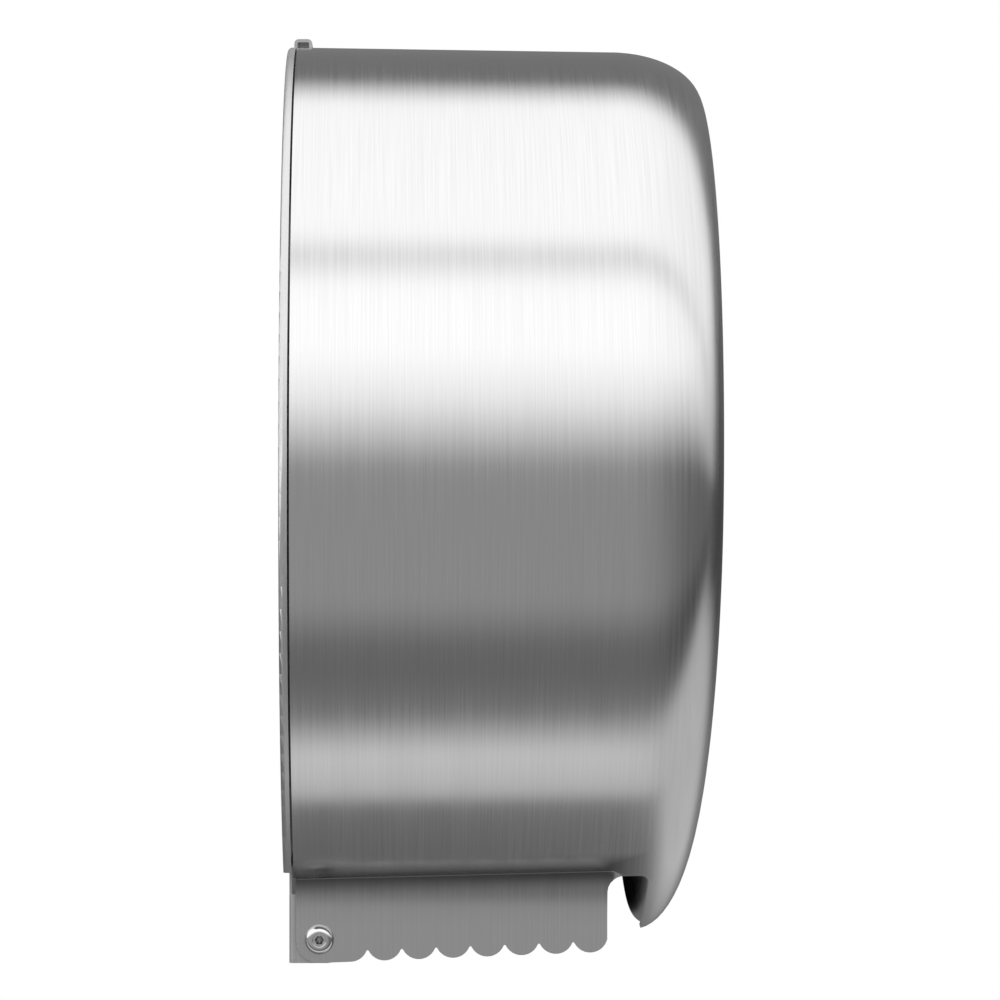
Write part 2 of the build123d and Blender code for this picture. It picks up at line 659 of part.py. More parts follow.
def make_bracket_rivets():
    face = FIELD_FRONT + BRACKET_SHEET
    rivets = []
    for x, z in bracket_rivet_places():
        head = disc(RIVET_HEAD_RADIUS, face, face + RIVET_HEAD, x, z)
        head = fillet(head.edges().sort_by(Axis.Y)[0], RIVET_HEAD * 0.8)
        shank = disc(RIVET_RADIUS, FIELD_REAR, face, x, z)
        tail = disc(RIVET_HEAD_RADIUS * 0.85, FIELD_REAR / 2, FIELD_REAR, x, z)
        rivets.append(head + shank + tail)
    return Compound(children=rivets)


def make_spindle_axle():
    """Axle with a head inside the cup, a plain journal and a threaded front end."""
    seat = BRACKET_REACH - BRACKET_SHEET
    lead = 0.8
    return turned(
        [
            (0, seat - AXLE_HEAD),
            (AXLE_HEAD_RADIUS, seat - AXLE_HEAD),
            (AXLE_HEAD_RADIUS, seat),
            (AXLE_RADIUS, seat),
            (AXLE_RADIUS, AXLE_SHOULDER),
            (THREAD_RADIUS, AXLE_SHOULDER),
            (THREAD_RADIUS, AXLE_END - lead),
            (THREAD_RADIUS - lead, AXLE_END),
            (0, AXLE_END),
        ]
    )


def make_brake_washer():
    """Bowed spring washer: a ring cut from a thin curved sheet."""
    half = BRAKE_OUTER
    bow = (half ** 2 + BRAKE_BOW ** 2) / (2 * BRAKE_BOW)
    top = BRACKET_REACH + BRAKE_BOW + BRAKE_THICKNESS
    centre = top - bow - BRAKE_THICKNESS
    shell = cross_pin(bow + BRAKE_THICKNESS, -FAR, FAR, centre, 0)
    shell -= cross_pin(bow, -FAR, FAR, centre, 0)
    ring = disc(BRAKE_OUTER, BRACKET_REACH, top, 0, 0)
    ring -= disc(AXLE_RADIUS + LOOSE, 0, FAR, 0, 0)
    return ring & shell


def make_end_washer():
    ring = disc(END_WASHER_RADIUS, AXLE_SHOULDER, AXLE_SHOULDER + END_WASHER)
    return ring - disc(THREAD_RADIUS, 0, FAR)


def make_axle_nut():
    seat = AXLE_SHOULDER + END_WASHER
    hexagon = across(seat) * RegularPolygon(NUT_FLATS / 2, 6, major_radius=False)
    nut = extrude(hexagon, AXLE_NUT_HEIGHT)
    crown = turned(
        [
            (0, seat - 1),
            (NUT_FLATS / 2 + 2.0, seat - 1),
            (NUT_FLATS / 2 + 2.0, seat + AXLE_NUT_HEIGHT - 1.6),
            (NUT_FLATS / 2 - 0.4, seat + AXLE_NUT_HEIGHT),
            (0, seat + AXLE_NUT_HEIGHT),
        ]
    )
    return (nut & crown) - disc(THREAD_RADIUS, 0, FAR)


# ---- spool --------------------------------------------------------------------------------


def bush(flange_face, direction, length):
    """Flanged bearing bush; direction +1 runs forward from its flange, -1 backward."""
    bore = AXLE_RADIUS + RUNNING_FIT
    return turned(
        [
            (bore, flange_face),
            (BUSH_FLANGE_OUTER, flange_face),
            (BUSH_FLANGE_OUTER, flange_face + direction * BUSH_FLANGE),
            (BUSH_RADIUS, flange_face + direction * BUSH_FLANGE),
            (BUSH_RADIUS, flange_face + direction * length),
            (bore, flange_face + direction * length),
        ]
    )


def make_core_spool():
    """Finned tube that the roll's core slides on, with a flange behind the roll."""
    rear = SPOOL_REAR + BUSH_FLANGE
    socket = AXLE_SHOULDER - END_PLAY - BUSH_FLANGE
    spool = turned(
        [
            (BUSH_RADIUS, rear),
            (SPOOL_FLANGE_RADIUS, rear),
            (SPOOL_FLANGE_RADIUS, rear + SPOOL_FLANGE / 2),
            (SPOOL_FLANGE_RADIUS * 0.6, rear + SPOOL_FLANGE),
            (SPOOL_TUBE_RADIUS, rear + SPOOL_FLANGE),
            (SPOOL_TUBE_RADIUS, SPOOL_FRONT),
            (CAP_SKIRT_RADIUS, SPOOL_FRONT),
            (CAP_SKIRT_RADIUS, socket),
            (BUSH_RADIUS, socket),
        ]
    )
    root = SPOOL_TUBE_RADIUS - 1.0
    lead = SPOOL_FRONT - SPOOL_FIN_LEAD
    fin = Polygon(
        (root, rear + SPOOL_FLANGE - 1.0),
        (SPOOL_FIN_RADIUS, rear + SPOOL_FLANGE - 1.0),
        (SPOOL_FIN_RADIUS, lead),
        (SPOOL_TUBE_RADIUS, SPOOL_FRONT - 1.0),
        (root, SPOOL_FRONT - 1.0),
        align=None,
    )
    fin = extrude(PLAN * fin, SPOOL_FIN / 2, both=True)
    for number in range(SPOOL_FINS):
        spool += Rot(0, 360 / SPOOL_FINS * number, 0) * fin
    return spool


def make_spool_cap():
    """Domed cap pressed into the spool's front, over the nut."""
    inner = CAP_SKIRT_RADIUS - CAP_WALL
    top = SPOOL_FRONT + CAP_DOME
    cap = turned(
        [
            (inner, SPOOL_FRONT - CAP_SKIRT),
            (CAP_SKIRT_RADIUS, SPOOL_FRONT - CAP_SKIRT),
            (CAP_SKIRT_RADIUS, SPOOL_FRONT),
            (SPOOL_TUBE_RADIUS, SPOOL_FRONT),
            (SPOOL_TUBE_RADIUS, SPOOL_FRONT + CAP_DOME / 4),
            (SPOOL_TUBE_RADIUS * 0.75, top),
            (0, top),
            (0, top - CAP_WALL * 0.7),
            (inner, top - CAP_WALL * 0.7),
        ]
    )
    return cap


# ---- write the pieces ---------------------------------------------------------------------


def make_rear_bush():
    return bush(SPOOL_REAR, 1, BUSH_LENGTH)


def make_front_bush():
    return bush(AXLE_SHOULDER - END_PLAY, -1, BUSH_LENGTH)


PIECES = {
    "back_plate": make_back_plate,
    "axle_bracket": make_axle_bracket,
    "bracket_rivets": make_bracket_rivets,
    "spindle_axle": make_spindle_axle,
    "brake_washer": make_brake_washer,
    "end_washer": make_end_washer,
    "axle_nut": make_axle_nut,
    "latch_rivets": make_latch_rivets,
    "latch_spring": make_latch_spring,
    "hinge_screws": make_hinge_screws,
    "hinge_nuts": make_hinge_nuts,
    "cover_shell": make_cover,
    "hinge_bushes": make_hinge_bushes,
    "sight_lens": make_sight_lens,
    "lens_frame": make_lens_frame,
    "lens_push_nuts": make_push_nuts,
    "latch_hook": make_latch_hook,
    "core_spool": make_core_spool,
    "rear_bush": make_rear_bush,
    "front_bush": make_front_bush,
    "spool_cap": make_spool_cap,
}

os.makedirs("parts", exist_ok=True)
for name, make in PIECES.items():
    export_step(make(), f"parts/{name}.step")
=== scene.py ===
from math import acos, asin, atan2, cos, hypot, pi, radians, sin, sqrt, tan

import bmesh
import bpy
from bpy.props import FloatProperty, FloatVectorProperty, PointerProperty
from bpy.types import Operator, Panel, PropertyGroup
from mathutils import Matrix, Vector


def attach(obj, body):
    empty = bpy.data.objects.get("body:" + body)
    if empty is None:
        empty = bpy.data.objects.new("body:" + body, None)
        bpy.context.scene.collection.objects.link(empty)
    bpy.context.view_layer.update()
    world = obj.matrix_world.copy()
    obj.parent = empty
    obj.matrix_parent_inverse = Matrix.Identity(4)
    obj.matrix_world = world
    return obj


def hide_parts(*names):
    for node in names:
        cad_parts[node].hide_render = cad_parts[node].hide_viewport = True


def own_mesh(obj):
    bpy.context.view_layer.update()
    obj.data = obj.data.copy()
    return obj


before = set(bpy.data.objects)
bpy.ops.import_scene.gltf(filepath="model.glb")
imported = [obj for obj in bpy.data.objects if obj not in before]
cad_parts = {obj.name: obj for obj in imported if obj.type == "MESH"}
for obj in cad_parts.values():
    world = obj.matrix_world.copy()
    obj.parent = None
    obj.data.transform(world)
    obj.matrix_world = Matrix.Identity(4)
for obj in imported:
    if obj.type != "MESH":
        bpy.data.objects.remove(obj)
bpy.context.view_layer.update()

bl_info = {
    "name": "Jumbo roll dispenser",
    "version": (1, 0, 0),
    "blender": (4, 5, 0),
    "location": "View3D > Sidebar > Dispenser",
    "description": "Drawn stainless cover, finishes and studio for a jumbo toilet roll dispenser",
    "category": "Object",
}

# Metres, in the CAD frame: the wall is Y = 0, the front faces -Y, the spindle is the Y axis.
# "Reach" is the distance forward of the wall.

MM = 0.001

# cover, places that the sizes in the panel don't change
COVER_REAR = 3.0 * MM
CORNER_SIDE = 15.2 * MM
CHIN_REACH = 16.6 * MM
CHIN_HEIGHT = 38.4 * MM
SKIRT_CURVE = 34.0 * MM  # radius of the skirt's outward curve
SKIRT_FLARE = 3.0 * MM  # how much wider the skirts are at the crease
SKIRT_TILT = radians(22.0)
CREASE = 0.9 * MM  # radius of the crease between drum and skirt
CURVE_SHARE = 0.5  # of the way up a skirt, where its curve ends
FLANK_SHARE = 0.6875  # and where its straight part ends
SKIRT_REAR_RADIUS = 6.85 * MM
LOBE_ROOT = 0.35 * MM
EDGE_RISE = 0.0385  # of the lobed edge, for each unit of reach
NOTCH_RISE = 0.7 * MM
NOTCH_REAR_RADIUS = 4.5 * MM
NOTCH_FRONT_RADIUS = 2.5 * MM
NOTCH_WIDTH = 12.2 * MM
LIP_BACK = 17.7 * MM
LIP_BOW = 3.0 * MM  # how much further forward the lip's edge is in its middle
LIP_BOW_POWER = 5  # how fast the bow fades to the sides
LIP_ROUND = 8.0 * MM  # how softly the bow turns in its middle
HINGE_REACH = 10.4 * MM
HINGE_RISE = 5.8 * MM
HINGE_HOLE = 3.65 * MM
LATCH_SLOT = (11.0 * MM, 5.6 * MM, 7.8 * MM)  # half width, reach from, reach to
SIGHT_WIDTH = 14.0 * MM
SIGHT_LENGTH = 84.0 * MM
SIGHT_CENTRE = 61.96 * MM
SCREW_RADIUS = 2.5 * MM
SCREW_LENGTH = 8.0 * MM
SCREW_HEAD_RADIUS = 4.28 * MM
SCREW_RING_RADIUS = 2.1 * MM
SCREW_DOME = 2.35 * MM
SCREW_SOCKET = 1.35 * MM  # over the hexagon's corners, from its middle
SCREW_SOCKET_DEPTH = 1.3 * MM
SCREW_PLAY = 0.15 * MM
SCREW_STEPS = 48
SCREW_DOME_STEPS = 12
SCREW_EDGE = 0.15 * MM  # chamfer under the head's rim
SCREW_RIM = 0.3 * MM  # height of the rim, where the dome begins
SCREW_RING = ((0.1, 0.02), (0.2, 0.12), (0.25, 0.3))  # inwards and down from the ring, in mm
SCREW_CONE_END = 10  # how many times narrower the socket's cone ends
SCREW_ROUND = 0.06 * MM  # rounded edges of the screws
EDGE_ROUND = 0.18 * MM  # deburred edges of the sheet
FRONT_MARGIN = 2.0 * MM  # flat ring between the rounded edge and the rest of the front
REAR_SPARE = 0.1 * MM  # faces this far behind the skirt's rear edge are cut away
TOP_SHARE = 0.98  # of the drum's radius; faces higher than this may hold the latch's slot

# how finely the cover is divided
SKIRT_STEPS = 22
LOW_STEPS = 10  # of these, below the notch's top edge
DRUM_STEPS = 112
CHIN_STEPS = 40
CHIN_CROWDING = 1.6  # columns are closer near the notch
FIRST_SKIP = 0.85  # the first drum column is this part of a step closer to the crease
LOBE_STEPS = 12
ROOT_STEPS = 6
HOLE_STEPS = 32
WINDOW_STEPS = 48
SKIRT_END = 94.4  # reach of the skirt's front edge in mm
BODY_REACHES = (3.0, 3.55, 12.0, 24.0, 36.0, 48.0, 60.0, 72.0, 84.0, SKIRT_END, 94.6, 95.2)
CORNER_ANGLES = (22, 27, 32, 37, 42, 47, 52, 57, 62, 67, 72, 77, 81, 84.5, 87.5, 90)
WELD = 0.004 * MM  # points closer than this are one
TOUCH = 1e-6  # tolerance of a place

# brushed finish of the cover, and the painted shade along its crease
BRUSH_RADIUS = 0.137  # of the drum, for the length of the hairlines round it
DRUM_EDGE = 0.1368  # radius where the distance over the front face ends
HAIRLINE = (0.5 * MM, 45 * MM)  # width and length
BELT_BAND = (8 * MM, 160 * MM)
NOISE_SPAN = (0.3, 0.7)  # most values of a noise lie in here
CREASE_SHADE_HEIGHT = 0.1122  # of the band of painted shade along the crease, below the spindle at the wall
CREASE_SHADE_RISE = 0.0188  # of that band, for each unit of reach
CREASE_SHADE_SPAN = (0.5 * MM, 6.5 * MM)  # from the band's middle: darkest up to here, ends here
CREASE_SHADE_LEAST = 0.15  # share of the brushed colour that is left in its middle
CREASE_SHADE_COLOUR = 0.12  # the painted shade's colour, as a share of the cover's
CREASE_SHADE_FADE = (-0.106, -0.092)  # the band fades out along Y here

CAP_SHADE = 0.85  # of the spool's colour, for its cap

# camera and studio
CAMERA_LENS = 138.95
CAMERA_SHIFT = (0.12, -0.0095)
CAMERA_PLACE = (-1.2, -0.0281, 0.0)
WORLD_FILL = 0.45
FLOOR_HEIGHT = -0.45
FLOOR_RADIUS = 2.0
LAMPS = (  # name, place, width, height, power
    ("lamp_top", (0.1, 0.1, 1.7), 2.2, 1.6, 14),
    ("lamp_side", (-1.6, -0.3, 0.7), 1.4, 1.0, 9),
    ("lamp_front", (0.6, -1.7, 0.6), 1.6, 1.0, 9),
)


def linear(colour):
    """Linear RGBA of an sRGB hex colour."""
    parts = [int(colour[i : i + 2], 16) / 255 for i in (1, 3, 5)]
    return tuple(p / 12.92 if p <= 0.04045 else ((p + 0.055) / 1.055) ** 2.4 for p in parts) + (1,)


def colour_property(name, description, colour):
    return FloatVectorProperty(
        name=name, description=description, subtype="COLOR", size=3, min=0, max=1,
        default=linear(colour)[:3],
    )


def length_property(name, description, default):
    return FloatProperty(
        name=name, description=description, unit="LENGTH", precision=4, default=default,
    )


class DispenserSizes(PropertyGroup):
    drum_radius: length_property("Drum radius", "Outside radius at the rear edge", 136.8 * MM)
    draft: FloatProperty(
        name="Draft", description="How much the drum narrows towards the front",
        subtype="ANGLE", default=radians(0.88),
    )
    cover_front: length_property("Depth", "Reach of the front face at the spindle", 124.3 * MM)
    front_lean: FloatProperty(
        name="Front lean", description="How far the front face leans forward at the top",
        subtype="ANGLE", default=radians(0.6),
    )
    corner_reach: length_property("Corner", "Rounded front edge, along the reach", 27.0 * MM)
    skirt_half_width: length_property("Skirt half width", "Outer face at the hinge", 74.0 * MM)
    lobe_pitch: length_property("Lobe pitch", "Spacing of the tear lobes", 10.0 * MM)
    lobe_depth: length_property("Lobe depth", "Depth of the tear lobes", 3.85 * MM)
    sheet: length_property("Sheet", "Thickness of the cover's sheet", 1.0 * MM)


class DispenserColours(PropertyGroup):
    cover: colour_property("Cover", "Brushed stainless of the cover", "#C8C8C8")
    plate: colour_property("Wall plate", "Satin stainless of the plate and latch", "#C4C4C4")
    screw: colour_property("Hinge screws", "Polished stainless", "#CFCFCF")
    spool: colour_property("Spool", "Moulded plastic of the core spool", "#C9CAC8")
    lens: colour_property("Sight lens", "Smoked polycarbonate", "#34363A")


# ---- cover: the form of its outside -------------------------------------------------------


class CoverForm:
    """Points on the right-hand half of the cover's outside.

    Drum, chin and front face follow the CAD. The curved skirts, the crease and the bow of
    the lip follow the photo, and differ from the CAD by up to 3.6 mm.
    """

    def __init__(self, sizes):
        self.radius = sizes.drum_radius
        self.taper = tan(sizes.draft)
        self.lean = tan(sizes.front_lean)
        self.front = sizes.cover_front
        self.corner = sizes.corner_reach
        self.half = sizes.skirt_half_width
        self.corner_start = self.front - self.corner
        self.end_radius = self.drum_radius(self.corner_start)
        self.flat_radius = self.end_radius - CORNER_SIDE
        self.crease = -sqrt(self.radius ** 2 - (self.half + SKIRT_FLARE) ** 2)
        straight = SKIRT_FLARE / sin(SKIRT_TILT) - SKIRT_CURVE * tan(SKIRT_TILT / 2)
        self.curve_start = (
            self.crease - straight * cos(SKIRT_TILT) - SKIRT_CURVE * sin(SKIRT_TILT)
        )
        self.notch_top = self.crease + NOTCH_RISE
        self.lip = self.front - LIP_BACK
        self.skirt_front = self.lip - NOTCH_WIDTH
        self.rear_centre = self.skirt_front + NOTCH_REAR_RADIUS
        self.front_centre = self.lip - NOTCH_FRONT_RADIUS
        # the reach of the corner's beginning at the height of the crease
        self.low_start = self.corner_start + self.crease * self.lean
        self.body_reaches = [reach * MM for reach in BODY_REACHES] + [self.low_start]
        join = self.angle_at(self.rear_centre)
        self.lip_angle = self.angle_at(self.front_centre)
        self.blend_end = join
        self.before_lip = [join / 3, join * 2 / 3, join, (join + self.lip_angle) / 2]
        self.angles = self.before_lip + [self.lip_angle] + [radians(a) for a in CORNER_ANGLES]

    def drum_radius(self, reach):
        return self.radius - (reach - COVER_REAR) * self.taper

    def angle_at(self, reach):
        """Angle round the corner where the notch's top edge has that reach."""
        return asin((reach - self.notch_top * self.lean - self.corner_start) / self.corner)

    def notch_level(self, reach):
        """Height of the notch's top edge, with its rounded rear corner."""
        along = min(max(self.rear_centre - reach, 0.0), NOTCH_REAR_RADIUS)
        rise = sqrt(NOTCH_REAR_RADIUS ** 2 - along ** 2)
        return self.notch_top - NOTCH_REAR_RADIUS + rise

    def skirt_line(self, radius):
        """Tangent points and centre of the crease for a drum of that radius, as (x, z)."""
        foot = (
            self.half + SKIRT_CURVE * (1 - cos(SKIRT_TILT)),
            self.curve_start + SKIRT_CURVE * sin(SKIRT_TILT),
        )
        along = (sin(SKIRT_TILT), cos(SKIRT_TILT))
        base = (foot[0] + CREASE * cos(SKIRT_TILT), foot[1] - CREASE * sin(SKIRT_TILT))
        half_b = base[0] * along[0] + base[1] * along[1]
        rest = base[0] ** 2 + base[1] ** 2 - (radius + CREASE) ** 2
        run = -half_b - sqrt(half_b ** 2 - rest)
        centre = (base[0] + run * along[0], base[1] + run * along[1])
        return foot, run, centre

    def skirt_point(self, share, radius):
        """Point up the skirt: 0 where it begins to curve, 1 where the crease meets the drum."""
        foot, run, centre = self.skirt_line(radius)
        if share <= CURVE_SHARE:
            angle = SKIRT_TILT * share / CURVE_SHARE
            x = self.half + SKIRT_CURVE * (1 - cos(angle))
            return x, self.curve_start + SKIRT_CURVE * sin(angle)
        if share <= FLANK_SHARE:
            part = run * (share - CURVE_SHARE) / (FLANK_SHARE - CURVE_SHARE)
            return foot[0] + part * sin(SKIRT_TILT), foot[1] + part * cos(SKIRT_TILT)
        first = pi - SKIRT_TILT
        last = atan2(-centre[1], -centre[0])
        angle = first + (last - first) * (share - FLANK_SHARE) / (1 - FLANK_SHARE)
        return centre[0] + CREASE * cos(angle), centre[1] + CREASE * sin(angle)

    def share_at(self, height, radius):
        """How far up the skirt that height is."""
        low, high = 0.0, 1.0
        for _ in range(30):
            middle = (low + high) / 2
            if self.skirt_point(middle, radius)[1] < height:
                low = middle
            else:
                high = middle
        return low

    def skirt_column(self, column, reach, radius):
        cut = self.share_at(self.notch_level(max(reach, self.skirt_front)), radius)
        if column < LOW_STEPS:
            return self.skirt_point(cut * column / LOW_STEPS, radius)
        share = (column - LOW_STEPS) / (SKIRT_STEPS - LOW_STEPS)
        return self.skirt_point(cut + (1 - cut) * share, radius)

    def drum_share(self, column):
        """How far round the drum a column lies; the first is close to the crease."""
        return (column - SKIRT_STEPS - FIRST_SKIP) / (DRUM_STEPS - FIRST_SKIP)

    def body_point(self, column, row):
        """Drum and the curved part of the skirt, from the rear edge to the corner."""
        reach = self.body_reaches[row]
        forward = (reach - COVER_REAR) / (self.low_start - COVER_REAR)
        radius = self.drum_radius(reach - self.crease * self.lean * forward)
        if column <= SKIRT_STEPS:
            x, z = self.skirt_column(column, reach, radius)
        else:
            x, z = self.skirt_point(1.0, radius)
            first = atan2(z, x)
            angle = first + (pi / 2 - first) * self.drum_share(column)
            x, z = radius * cos(angle), radius * sin(angle)
        shift = max(z - self.crease, 0.0) * self.lean * forward
        return Vector((x, -reach - shift, z))

    def corner_point(self, beta, angle):
        """On the rounded front edge: beta goes round the drum from +X, angle round the bend."""
        reach = self.corner_start + self.corner * sin(angle)
        radius = self.flat_radius + CORNER_SIDE * cos(angle)
        x, z = radius * cos(beta), radius * sin(beta)
        if beta < 0:
            depth = self.end_radius
            chin_start = self.front - CHIN_REACH
            if reach > chin_start:
                share = min(1.0, (reach - chin_start) / CHIN_REACH)
                depth -= CHIN_HEIGHT * (1 - sqrt(1 - share * share))
            z = depth * sin(beta)
        return Vector((x, -reach - z * self.lean, z))

    def lip_beta(self):
        """Where the notch's top edge meets the front lip, as an angle round the drum."""
        return -asin(-self.notch_top / self.end_radius)

    def front_point(self, column, row):
        """The rounded front edge above the notch."""
        if row == 0:
            return self.body_point(column, len(self.body_reaches) - 1)
        angle = self.angles[row - 1]
        radius = self.end_radius
        x, z = self.skirt_point(1.0, radius)
        first = atan2(z, x)
        if column > SKIRT_STEPS:
            beta = first + (pi / 2 - first) * self.drum_share(column)
            return self.corner_point(beta, angle)
        low = self.lip_beta()
        if angle < self.blend_end:
            reach = self.corner_start + self.corner * sin(angle) + self.notch_top * self.lean
            low = -asin(-self.notch_level(reach) / radius)
        beta = low + (first - low) * (column - LOW_STEPS) / (SKIRT_STEPS - LOW_STEPS)
        point = self.corner_point(beta, angle)
        if angle < self.blend_end:
            # the crease runs out into the drum here
            x, z = self.skirt_column(column, -point.y, radius)
            fade = angle / self.blend_end
            point.x += (x - point.x) * (1 - fade)
            point.z += (z - point.z) * (1 - fade)
        return point

    def lip_angle_at(self, beta):
        """Angle round the bend at which the front lip's edge lies."""
        low, high = self.lip_angle * 0.5, radians(60)
        for _ in range(40):
            angle = (low + high) / 2
            point = self.corner_point(beta, angle)
            aside = (hypot(point.x, LIP_ROUND) - LIP_ROUND) / self.half
            edge = self.lip + LIP_BOW * max(0.0, 1 - aside) ** LIP_BOW_POWER
            drop = self.notch_top - NOTCH_FRONT_RADIUS - point.z
            if -NOTCH_FRONT_RADIUS < drop < 0:
                edge = self.front_centre + sqrt(NOTCH_FRONT_RADIUS ** 2 - drop ** 2)
            elif drop <= -NOTCH_FRONT_RADIUS:
                edge = self.front_centre
            if -point.y < edge:
                low = angle
            else:
                high = angle
        return (low + high) / 2

    def chin_point(self, column, row):
        """Below the notch: from the front lip's edge to the front face."""
        first = self.lip_beta()
        beta = first + (-pi / 2 - first) * (column / CHIN_STEPS) ** CHIN_CROWDING
        angle = self.angles[len(self.before_lip) + row]
        start = self.lip_angle if column == 0 else self.lip_angle_at(beta)
        angle = start + (angle - self.lip_angle) * (pi / 2 - start) / (pi / 2 - self.lip_angle)
        return self.corner_point(beta, angle)


# ---- cover: its mesh ----------------------------------------------------------------------


def patch(bm, columns, rows, place):
    """A grid whose points are laid on the form by place(column, row)."""
    grid = bmesh.ops.create_grid(bm, x_segments=columns, y_segments=rows, size=1.0)
    for vert in grid["verts"]:
        column = round((vert.co.x + 1) / 2 * columns)
        row = round((vert.co.y + 1) / 2 * rows)
        vert.co = place(column, row)


def run_to(bm, vert, reach, height):
    """Straight edge from vert, in the plane of the skirt."""
    made = bmesh.ops.extrude_vert_indiv(bm, verts=[vert])["verts"][0]
    made.co = Vector((vert.co.x, -reach, height))
    return made


def run_round(bm, vert, centre, angle, steps):
    """Arc of edges from vert about a (reach, height) centre; positive is forwards and up."""
    made = bmesh.ops.spin(
        bm, geom=[vert], cent=(vert.co.x, -centre[0], centre[1]), axis=(1, 0, 0),
        angle=-angle, steps=steps, use_duplicate=False,
    )
    return [part for part in made["geom_last"] if isinstance(part, bmesh.types.BMVert)][0]


def skirt_edge(bm, form, sizes):
    """Outline of the flat part of the skirt: rear corner, tear lobes and front edge."""
    pitch, depth = sizes.lobe_pitch, sizes.lobe_depth
    hinge = (HINGE_REACH, HINGE_RISE - form.radius)
    low = hinge[1] - SKIRT_REAR_RADIUS
    lobe_radius = (pitch ** 2 / 4 + depth ** 2) / (2 * depth)
    count = int((form.skirt_front - HINGE_REACH) / pitch - 1)
    first = form.skirt_front - (count + 0.5) * pitch
    centres = []
    for number in range(count + 1):
        reach = first + number * pitch
        centres.append((reach, low + (reach - HINGE_REACH) * EDGE_RISE + lobe_radius))
    rear = HINGE_REACH - SKIRT_REAR_RADIUS
    vert = bm.verts.new((form.half, -rear, form.curve_start))
    vert = run_to(bm, vert, rear, hinge[1])
    vert = run_round(bm, vert, hinge, pi / 2, LOBE_STEPS)
    vert = run_to(bm, vert, centres[0][0], centres[0][1] - lobe_radius)
    turned = -pi / 2
    for this, following in zip(centres, centres[1:]):
        span = hypot(following[0] - this[0], following[1] - this[1])
        slope = atan2(following[1] - this[1], following[0] - this[0])
        open_angle = acos(span / 2 / (lobe_radius + LOBE_ROOT))
        reach = this[0] + (lobe_radius + LOBE_ROOT) * cos(slope - open_angle)
        height = this[1] + (lobe_radius + LOBE_ROOT) * sin(slope - open_angle)
        vert = run_round(bm, vert, this, slope - open_angle - turned, LOBE_STEPS)
        vert = run_round(bm, vert, (reach, height), -(pi - 2 * open_angle), ROOT_STEPS)
        turned = slope - pi + open_angle
    last = -acos((form.skirt_front - centres[-1][0]) / lobe_radius)
    vert = run_round(bm, vert, centres[-1], last - turned, LOBE_STEPS)
    run_to(bm, vert, form.skirt_front, form.curve_start)


def boundary(bm, test):
    """Open edges whose two ends pass a test."""
    return [e for e in bm.edges if e.is_boundary and all(test(v.co) for v in e.verts)]


